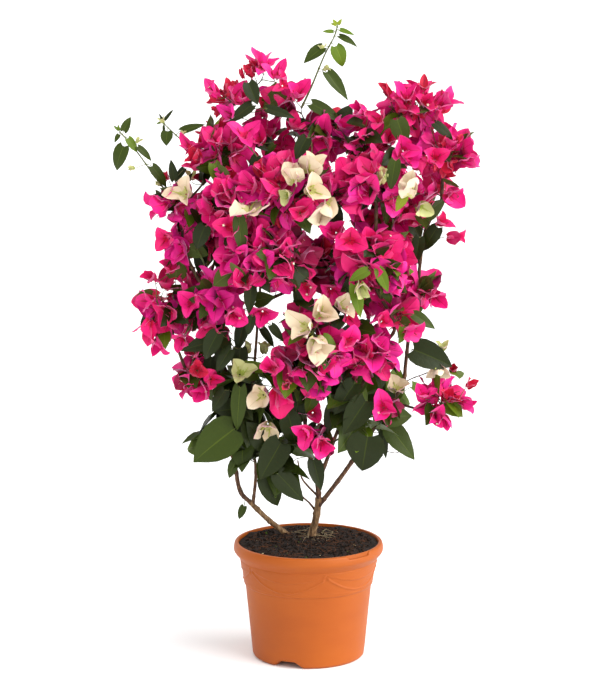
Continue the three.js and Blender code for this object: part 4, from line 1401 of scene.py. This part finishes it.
def makeStems():
    finishes = [
        [barkFinish("boughBark", [paint(48, 34, 26), paint(80, 58, 42), paint(116, 90, 66)])],
        [newFinish("twigBrown", paint(72, 56, 36), 0.7), newFinish("twigGreen", paint(76, 84, 38), 0.55)],
        [newFinish("stalkGreen", paint(84, 88, 40), 0.5)],
    ]
    for level, name in enumerate(("crownBoughs", "crownTwigs", "crownStalks")):
        numbers = np.flatnonzero(np.array(tree.levels) == level)
        lines = np.array([tree.lines[n] for n in numbers])
        rings, sides = lines.shape[1], growth["sides"][level]
        share = np.linspace(0, 1, rings)[None]
        radii = stemWide[numbers][:, None] * (1 - share) + stemNarrow[numbers][:, None] * share
        radii = radii * (1 + 0.12 * (np.arange(rings) % 3 == 1))  # swollen nodes
        points, quads, tips = tubes(lines, radii, sides)
        heap = Heap()
        thin = stemWide[numbers] < growth["greenBelow"]
        tint = np.repeat(thin, sides * (rings - 1)) if level == 1 else 0
        heap.add(points, quads, tips, tint, 0)
        piece = heap.make(name, finishes[level])
        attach(piece, "root")


makeStems()
print("stems grown:", len(tree.lines))


bladeColumns = np.array([-1, -0.72, -0.38, -0.035, 0.035, 0.38, 0.72, 1.0])


def bladePoints(bases, axes, lengths, widths, shape, random):
    # axes: side, along and facing of each blade as columns; returns (n, rows, columns, 3)
    count = len(bases)
    t = np.linspace(0, 1, shape["rows"] + 1)
    t = t - 0.5 * np.sin(2 * math.pi * t) / (2 * math.pi)  # closer together at the foot and the tip
    u = bladeColumns
    half = (1 - t) ** shape["point"] * (t + 0.02) ** shape["round"]
    half = half / half.max()
    half[-1] = 0.014
    reach = t + shape["tip"] * t ** 12  # a short point drawn out of the tip

    def each(name):
        low, high = shape[name]
        return random.uniform(low, high, count)[:, None]

    bend, curl = each("bend"), each("curl")
    angle = bend * t + curl * t ** 3
    middle = (angle[:, 1:] + angle[:, :-1]) / 2
    step = lengths[:, None] * np.diff(reach)[None]
    zero = np.zeros((count, 1))
    alongRun = np.concatenate([zero, np.cumsum(np.cos(middle) * step, axis=1)], axis=1)
    facingRun = np.concatenate([zero, np.cumsum(np.sin(middle) * step, axis=1)], axis=1)

    wide = (widths[:, None] / 2 * half)[:, :, None]
    fold, cup = each("fold")[..., None], each("cup")[..., None]
    side = wide * u * (1 - 0.3 * (fold + cup) ** 2 * np.abs(u))
    lift = wide * (fold * np.abs(u) + cup * u ** 2)
    waves = random.uniform(*shape["waves"], (count, 2))
    phases = random.uniform(0, 2 * math.pi, (count, 2))
    which = (u > 0).astype(int)
    swing = np.sin(2 * math.pi * waves[:, None, which] * t[None, :, None] + phases[:, None, which])
    wave = widths[:, None, None] / 2 * each("wave")[..., None] * u ** 2 * swing
    lift = lift + wave * (half ** 0.5)[None, :, None]
    long, hump = lengths[:, None, None], np.sin(math.pi * t)[None, :, None]
    ribs = np.where(np.arange(len(t)) % 2, 0.5, -0.5)[None, :, None] * (np.abs(u) > 0.2) * (np.abs(u) < 0.9)
    lift = lift + long * shape["rib"] * ribs * hump
    lift = lift - long * shape["groove"] * (np.abs(u) < 0.1) * hump
    turn = (each("twist") * t)[..., None]
    side, lift = side * np.cos(turn) - lift * np.sin(turn), side * np.sin(turn) + lift * np.cos(turn)

    sweep = shape["sweep"] * np.abs(u) * (t * (1 - t))[:, None]
    sweep = sweep - shape["heart"] * np.abs(u) ** 1.5 * ((1 - t) ** 5)[:, None]
    push = long * sweep[None]
    cos, sin = np.cos(angle)[..., None], np.sin(angle)[..., None]
    along = alongRun[..., None] - sin * lift + push * cos
    facing = facingRun[..., None] + cos * lift + push * sin
    local = np.stack([side, along, facing], -1)
    return bases[:, None, None] + np.einsum("nij,nrcj->nrci", axes, local)


def addBlades(heap, points, tints, finishesEach=1, heartRows=0, flip=False):
    # tints: the first finish of each blade; the next is its midrib's and then its heart's
    count, rows = points.shape[0], points.shape[1] - 1
    columns = len(bladeColumns)
    r, c = np.meshgrid(np.arange(rows), np.arange(columns - 1), indexing="ij")
    r, c = r.ravel(), c.ravel()
    a = r * columns + c
    one = np.stack([a, a + 1, a + columns + 1, a + columns], -1)
    quads = (one[None] + (np.arange(count) * (rows + 1) * columns)[:, None, None]).reshape(-1, 4)
    off = np.abs(c - (columns // 2 - 1))
    part = np.where(off == 0, 1, np.where(r + off < heartRows, 2, 0))
    finish = (tints[:, None] * finishesEach + part[None]).ravel()
    heap.add(points.reshape(-1, 3), quads[:, [0, 3, 2, 1]] if flip else quads, finish=finish)


def trioParts(spots, axis, opening, size, random):
    # the base, frame and length of each of a head's three bracts, and its three flower tubes
    count = len(spots)
    rings = frames(axis, random.normal(size=(count, 3)))
    first = random.uniform(0, 2 * math.pi, count)
    parts = []
    for k in range(3):
        around = first + k * 2 * math.pi / 3 + random.normal(0, 0.16, count)
        out = rings[:, :, 0] * np.cos(around)[:, None] + rings[:, :, 2] * np.sin(around)[:, None]
        lean = np.radians(np.clip(opening + random.normal(0, 10, count), 8, 98))[:, None]
        along = axis * np.cos(lean) + out * np.sin(lean)
        facing = axis * np.sin(lean) - out * np.cos(lean)
        frame3 = np.stack([np.cross(along, facing), along, facing], -1)
        root = spots + out * 0.0022 + along * 0.004
        stand = unit(axis * np.cos(lean / 2) + out * np.sin(lean / 2) + 0.08 * random.normal(size=(count, 3)))
        parts.append((spots + out * 0.0012, frame3, size * random.uniform(0.86, 1.08, count), root, stand))
    return [np.concatenate(column) for column in zip(*parts)]


def shootBuds():
    # the greenish young heads on the long shoots: where each is, its axis and its foot on the shoot
    rows = []
    for shoot in shoots.values():
        line = catmull(np.array(shoot["through"]) / 1000, 0.003)
        for share, (across, rise), off in shoot["buds"]:
            foot = line[int(share * (len(line) - 1))]
            way = unit([across, -0.25, rise])
            rows.append((foot + way * off, unit(way + 0.5 * up), foot))
    return [np.array(column) for column in zip(*rows)]


def makeBracts():
    random = np.random.default_rng(bracts["seed"] + 1)
    heads = np.flatnonzero(flowering)
    spots, axis, tones = headSpots[heads], headAxis[heads], headTone[heads]
    opening, size, young = headOpening[heads], headSize[heads], headYoung[heads]
    trims = headLayer[heads] < 2
    crimson = toneNames.index("crimson")

    # tiny heads crowd round each young one
    beside = np.repeat(np.flatnonzero(young), bracts["budsBeside"])
    offset = 0.5 * axis[beside] + random.normal(size=(len(beside), 3))
    buds = spots[beside] + unit(offset) * random.uniform(*bracts["budsAway"], (len(beside), 1))
    budAxis = unit(axis[beside] + 0.7 * unit(offset))
    budFeet = spots[beside] - axis[beside] * bracts["budStalk"]
    budTones = np.where(random.uniform(size=len(beside)) < 0.7, crimson, tones[beside])
    shootSpots, shootAxis, shootFeet = shootBuds()
    spots = np.concatenate([spots, buds, shootSpots])
    axis = np.concatenate([axis, budAxis, shootAxis])
    tones = np.concatenate([tones, budTones, np.full(len(shootSpots), toneNames.index("lime"))])
    budOpening = random.uniform(*bracts["budOpen"], len(beside))
    opening = np.concatenate([opening, budOpening, np.full(len(shootSpots), bracts["shootOpen"])])
    budSize = random.uniform(*bracts["budLength"], len(beside))
    size = np.concatenate([size, budSize, np.full(len(shootSpots), bracts["shootLength"])])
    trims = np.concatenate([trims, np.zeros(len(beside) + len(shootSpots), bool)])

    bases, axes, lengths, roots, stands = trioParts(spots, axis, opening, size, random)
    tone = np.tile(tones, 3)
    narrow = np.ones(len(size))
    narrow[:len(heads)] = [bracts["narrowIn"].get(name, 1) for name in headOwners[heads]]
    widths = lengths * random.uniform(*bracts["widthShare"], len(lengths)) * np.tile(narrow, 3)
    widths[np.tile(size < bracts["youngLength"][0], 3)] *= 0.75
    points = bladePoints(bases, axes, lengths, widths, bracts["shape"], random)
    middles = bases + axes[:, :, 1] * lengths[:, None] * 0.6
    kept = ~(np.tile(trims, 3) & (inHollow(middles) | hidesPale(middles, bracts["paleRoom"])))
    for number, name in enumerate(toneNames):
        heap = Heap()
        chosen = (tone == number) & kept
        addBlades(heap, points[chosen], np.zeros(chosen.sum(), int), heartRows=4)
        finishes = []
        for part, colour in zip(("", "Vein", "Heart"), bracts["tones"][name]):
            finish = newFinish(name + "Bract" + part, colour, 0.5, 0.3)
            for socket, value in bracts["sheen"].items():
                shaderOf(finish).inputs[socket].default_value = value
            roughen(finish, 0.0040, 0.0008)
            finishes.append(finish)
        piece = heap.make(name + "Bracts", finishes)
        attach(piece, "root")
    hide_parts(*bractNames)

    # a flower tube stands on each bract, some with an open star at the mouth
    tall = np.tile(size, 3) * bracts["tubeShare"]
    t = np.linspace(0, 1, 5)
    bow = 0.12 * random.normal(size=(len(roots), 1, 3)) * (t * t)[None, :, None]
    lines = roots[:, None] + tall[:, None, None] * (stands[:, None] * t[None, :, None] + bow)
    swell = np.array([0.9, 1.25, 1.0, 0.85, 1.0]) * bracts["tubeRadius"]
    swell = swell * np.clip(tall / 0.012, 0.5, 1)[:, None]
    heap = Heap()
    points, quads, tips = tubes(lines, swell, 5)
    pale = tone >= toneNames.index("cream")
    heap.add(points, quads, tips, np.repeat(pale, 20).astype(int), np.repeat(pale, 10).astype(int))
    openStar = (random.uniform(size=len(lines)) < bracts["openStars"]) & (tall > 0.011)
    addStars(heap, lines[openStar][:, -1], stands[openStar], random)
    t = np.linspace(0, 1, 4)[None, :, None]
    feet, tops = np.concatenate([budFeet, shootFeet]), np.concatenate([buds, shootSpots])
    stalks = feet[:, None] * (1 - t) + tops[:, None] * t
    points, quads, tips = tubes(stalks, np.full((len(stalks), 4), 0.0004), 4)
    heap.add(points, quads, tips, 3)
    finishes = [newFinish(name, colour, 0.5) for name, colour in bracts["tubeColours"].items()]
    piece = heap.make("flowerTubes", finishes)
    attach(piece, "root")
    print("bracts made:", int(kept.sum()), "flower tubes:", len(lines), "open:", openStar.sum())


def addStars(heap, mouths, ways, random):
    # a star with five points at each mouth, its rim by turns at a point and in a notch
    count = len(mouths)
    ring = frames(ways, random.normal(size=(count, 3)))
    k = np.arange(10)
    turns = k * math.pi / 5
    reach = np.where(k % 2, 0.0010, 0.0026)[:, None]
    rise = np.where(k % 2, 0.0002, 0.0008)[:, None]
    rim = ring[:, None, :, 0] * np.cos(turns)[:, None] + ring[:, None, :, 2] * np.sin(turns)[:, None]
    rim = mouths[:, None] + rim * reach + ways[:, None] * rise
    points = np.concatenate([mouths[:, None], rim], axis=1)
    fan = np.stack([np.zeros(10, int), 1 + k, 1 + (k + 1) % 10], -1)
    faces = fan[None] + (np.arange(count) * 11)[:, None, None]
    heap.add(points.reshape(-1, 3), triangles=faces.reshape(-1, 3), finish=2)


makeBracts()


leaves = {
    "seed": 9,
    "length": (0.022, 0.038),
    "lowLength": (0.036, 0.052),  # in the masses that leaves lead
    "lowHeight": 0.45,
    "widthShare": (0.66, 0.90),
    "petiole": (0.007, 0.013),
    "petioleRadius": 0.00045,
    "perStalk": 0.8,  # on a stalk to a head of bracts
    "fewerIn": {"crest_tip": 0.2, "crest_left": 0.4, "crest_inner": 0.5, "crest_right": 0.4,
                "right_shoulder": 0.5, "crest_saddle": 0.5, "low_right_wing": 0.6},
    "tuft": (4, 7),  # on an inner stalk without one
    "leafyTuft": (2, 5),
    "overhang": -0.001,  # how far past the outline a leaf may reach
    "drawnIn": 0.014,  # the most that a leaf past it is drawn in
    "leftOut": 0.022,  # a leaf further past it is left out
    "paleRoom": 0.017,  # no other leaf's middle lies this close in front of a pale head
    "thickness": 0.0003,
    "shape": {"rows": 7, "point": 0.84, "round": 0.34, "heart": 0.12, "sweep": 0.14, "fold": (0.04, 0.30),
              "cup": (-0.15, 0.12), "bend": (-0.65, 0.05), "curl": (-0.5, 0.15), "wave": (0.02, 0.10),
              "waves": (1.0, 2.0), "twist": (-0.3, 0.3), "rib": 0.005, "groove": 0.007, "tip": 0.06},
    # kind: its colour, its rib's colour and its share of the sprays
    "kinds": {
        "dark": (paint(30, 39, 5), paint(50, 60, 15), 0.52),
        "mid": (paint(50, 64, 8), paint(72, 86, 22), 0.33),
        "fresh": (paint(84, 106, 18), paint(104, 124, 34), 0.16),
        "yellow": (paint(128, 142, 36), paint(142, 152, 52), 0.015),
        # deep: a darker copy of the leaf green for the leaves on inner stalks, painted shade inside the crown
        "deep": (paint(15, 20, 4), paint(26, 33, 9), 0.0),
        "under": (paint(80, 96, 40), paint(100, 114, 56), 0.0),
    },
}
leafKinds = list(leaves["kinds"])


class LeafStore:
    # leaves wait here until they're all made at once; free ones may still be left out
    def __init__(self):
        self.rows = []

    def add(self, base, along, facing, length, kind, stem, width=None, free=True):
        if width is None:
            width = leafRandom.uniform(*leaves["widthShare"])
        self.rows.append((base, along, facing, length, kind, stem, width, free))

    def all(self):
        return [np.array(column) for column in zip(*self.rows)]


leafStore = LeafStore()
leafRandom = np.random.default_rng(leaves["seed"])


def leafKind(count):
    shares = np.array([kind[2] for kind in leaves["kinds"].values()])
    return leafRandom.choice(len(shares), count, p=shares / shares.sum())


def leavesOnStalks():
    ofSpray = leafKind(len(sprayCentres))
    for head, number in enumerate(stalkOf):
        layer = headLayer[head]
        line = tree.lines[number]
        heading = unit(np.gradient(line, axis=0))
        if layer == 4:
            _, _, turn, length, width, kind = leafRows[head - np.sum(headLayer < 4)]
            across, rise = math.sin(math.radians(turn)), math.cos(math.radians(turn))
            along = unit([across, -0.16, rise])
            facing = unit([0.25 * across, -1.0, 0.35])
            leafStore.add(line[-1], along, facing, length * 0.001, leafKinds.index(kind), line[-2], width,
                          free=False)
            continue
        count = leafRandom.poisson(leaves["perStalk"] * leaves["fewerIn"].get(headOwners[head], 1))
        if not flowering[head]:
            count = leafRandom.integers(*(leaves["leafyTuft"] if layer == 2 else leaves["tuft"]))
        if not count:
            continue
        low = headSpots[head][2] < leaves["lowHeight"] or layer == 2
        places = np.sort(leafRandom.choice(np.arange(1, len(line)), min(count, len(line) - 1), replace=False))
        turn = leafRandom.uniform(0, 6.28)
        for place in places:
            turn += 2.4
            ring = frames(heading[place][None], leafRandom.normal(size=(1, 3)))[0]
            out = ring[:, 0] * math.cos(turn) + ring[:, 2] * math.sin(turn)
            out = unit(out + 0.45 * headWays[head])
            sizes = leaves["lowLength"] if layer == 2 else leaves["length"]
            length = leafRandom.uniform(*sizes) * (1.12 if low else 1)
            petiole = unit(0.9 * out + 0.45 * heading[place]) * leafRandom.uniform(*leaves["petiole"])
            hang = 0.75 if low else 0.4
            along = unit(0.85 * out + 0.25 * heading[place] + 0.3 * headWays[head] - hang * up
                         + 0.2 * leafRandom.normal(size=3))
            facing = unit(0.5 * up + 0.9 * headWays[head] + 0.25 * leafRandom.normal(size=3))
            kind = ofSpray[headSpray[head]] if leafRandom.uniform() < 0.75 else leafKind(1)[0]
            # painted shade: leaves on inner stalks take the deep kind, darker than the rest
            if layer == 1:
                kind = leafKinds.index("deep")
            leafStore.add(line[place] + petiole, along, facing, length, kind, line[place])


leavesOnStalks()


def makeShoots():
    # long bare shoots with their leaves
    heap = Heap()
    for shoot in shoots.values():
        line = catmull(np.array(shoot["through"]) / 1000, 0.003)
        share = np.linspace(0, 1, len(line))
        start, end = np.array(shoot["radii"]) / 1000
        radii = start + (end - start) * share
        for at, (across, rise), length, width, kind in shoot["leaves"]:
            place = int(at * (len(line) - 1))
            radii[place] *= 1.35
            way = unit([across, -0.18, rise])
            petiole = unit(way + 0.5 * up) * length * 0.28
            facing = unit([0.35 * across, -0.85, 0.5])
            leafStore.add(line[place] + petiole, way, facing, length, leafKinds.index(kind), line[place],
                          width * 1.15, free=False)
        points, quads, tips = tubes(line[None], radii[None], 8)
        heap.add(points, quads, tips, 0)
    finish = newFinish("greenShoot", paint(84, 92, 44), 0.5)
    roughen(finish, 0.002, 0.0003, 0.4, (1, 1, 0.4))
    piece = heap.make("longShoots", [finish])
    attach(piece, "root")
    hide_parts(*shoots)


makeShoots()


def makeLeaves():
    bases, alongs, facings, lengths, kinds, stems, shares, free = leafStore.all()
    alongs = unit(alongs)
    # those that reach past the outline are drawn in, and left out if that isn't enough
    depth, out, _ = depthIn(bases + alongs * lengths[:, None], massNames)
    past = np.where(free, -depth - leaves["overhang"], 0)
    bases = bases - out * np.clip(past, 0, leaves["drawnIn"])[:, None]
    past = past > leaves["leftOut"]
    middles = bases + alongs * lengths[:, None] * 0.55
    kept = ~(free & (past | inHollow(middles) | hidesPale(middles, leaves["paleRoom"])))
    bases, alongs, facings, stems = bases[kept], alongs[kept], facings[kept], stems[kept]
    lengths, kinds, shares = lengths[kept], kinds[kept], shares[kept]
    side = unit(np.cross(alongs, facings))
    axes = np.stack([side, alongs, np.cross(side, alongs)], -1)
    points = bladePoints(bases, axes, lengths, lengths * shares, leaves["shape"], leafRandom)
    inward = (1 - bladeColumns ** 2)[None, None, :, None] * leaves["thickness"]
    below = points - axes[:, None, None, :, 2] * inward
    finishes = []
    for name, (colour, rib, _) in leaves["kinds"].items():
        finishes.append(newFinish(name + "Leaf", colour, 0.46, 0.2))
        finishes.append(newFinish(name + "LeafRib", rib, 0.5, 0.16))
    for finish in finishes:
        roughen(finish, 0.0050, 0.0010, 0.5)
    upperSide, lowerSide = Heap(), Heap()
    addBlades(upperSide, points, kinds, 2)
    addBlades(lowerSide, below, np.full(len(kinds), leafKinds.index("under")), 2, flip=True)
    piece = upperSide.make("leafUppers", finishes)
    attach(piece, "root")
    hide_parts(*leafyNames, *shootLeafNames)
    piece = lowerSide.make("leafUndersides", finishes)
    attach(piece, "root")

    # petioles
    t = np.linspace(0, 1, 4)[None, :, None]
    lines = stems[:, None] * (1 - t) + bases[:, None] * t
    lines = lines + np.sin(math.pi * t) * 0.0008 * up
    keep = np.linalg.norm(stems - bases, axis=1) > 0.001
    heap = Heap()
    radii = np.full((keep.sum(), 4), leaves["petioleRadius"])
    points, quads, tips = tubes(lines[keep], radii, 4)
    heap.add(points, quads, tips, 0)
    piece = heap.make("petioles", [newFinish("petioleGreen", paint(96, 112, 50), 0.5)])
    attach(piece, "root")
    print("leaves made:", len(lengths), "left out:", int((~kept).sum()))


makeLeaves()

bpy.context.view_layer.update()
total = sum(len(p.vertices) - 2 for o in bpy.context.scene.objects if o.type == "MESH" and not o.hide_render
            for p in o.data.polygons)
print("triangles in sight:", total)
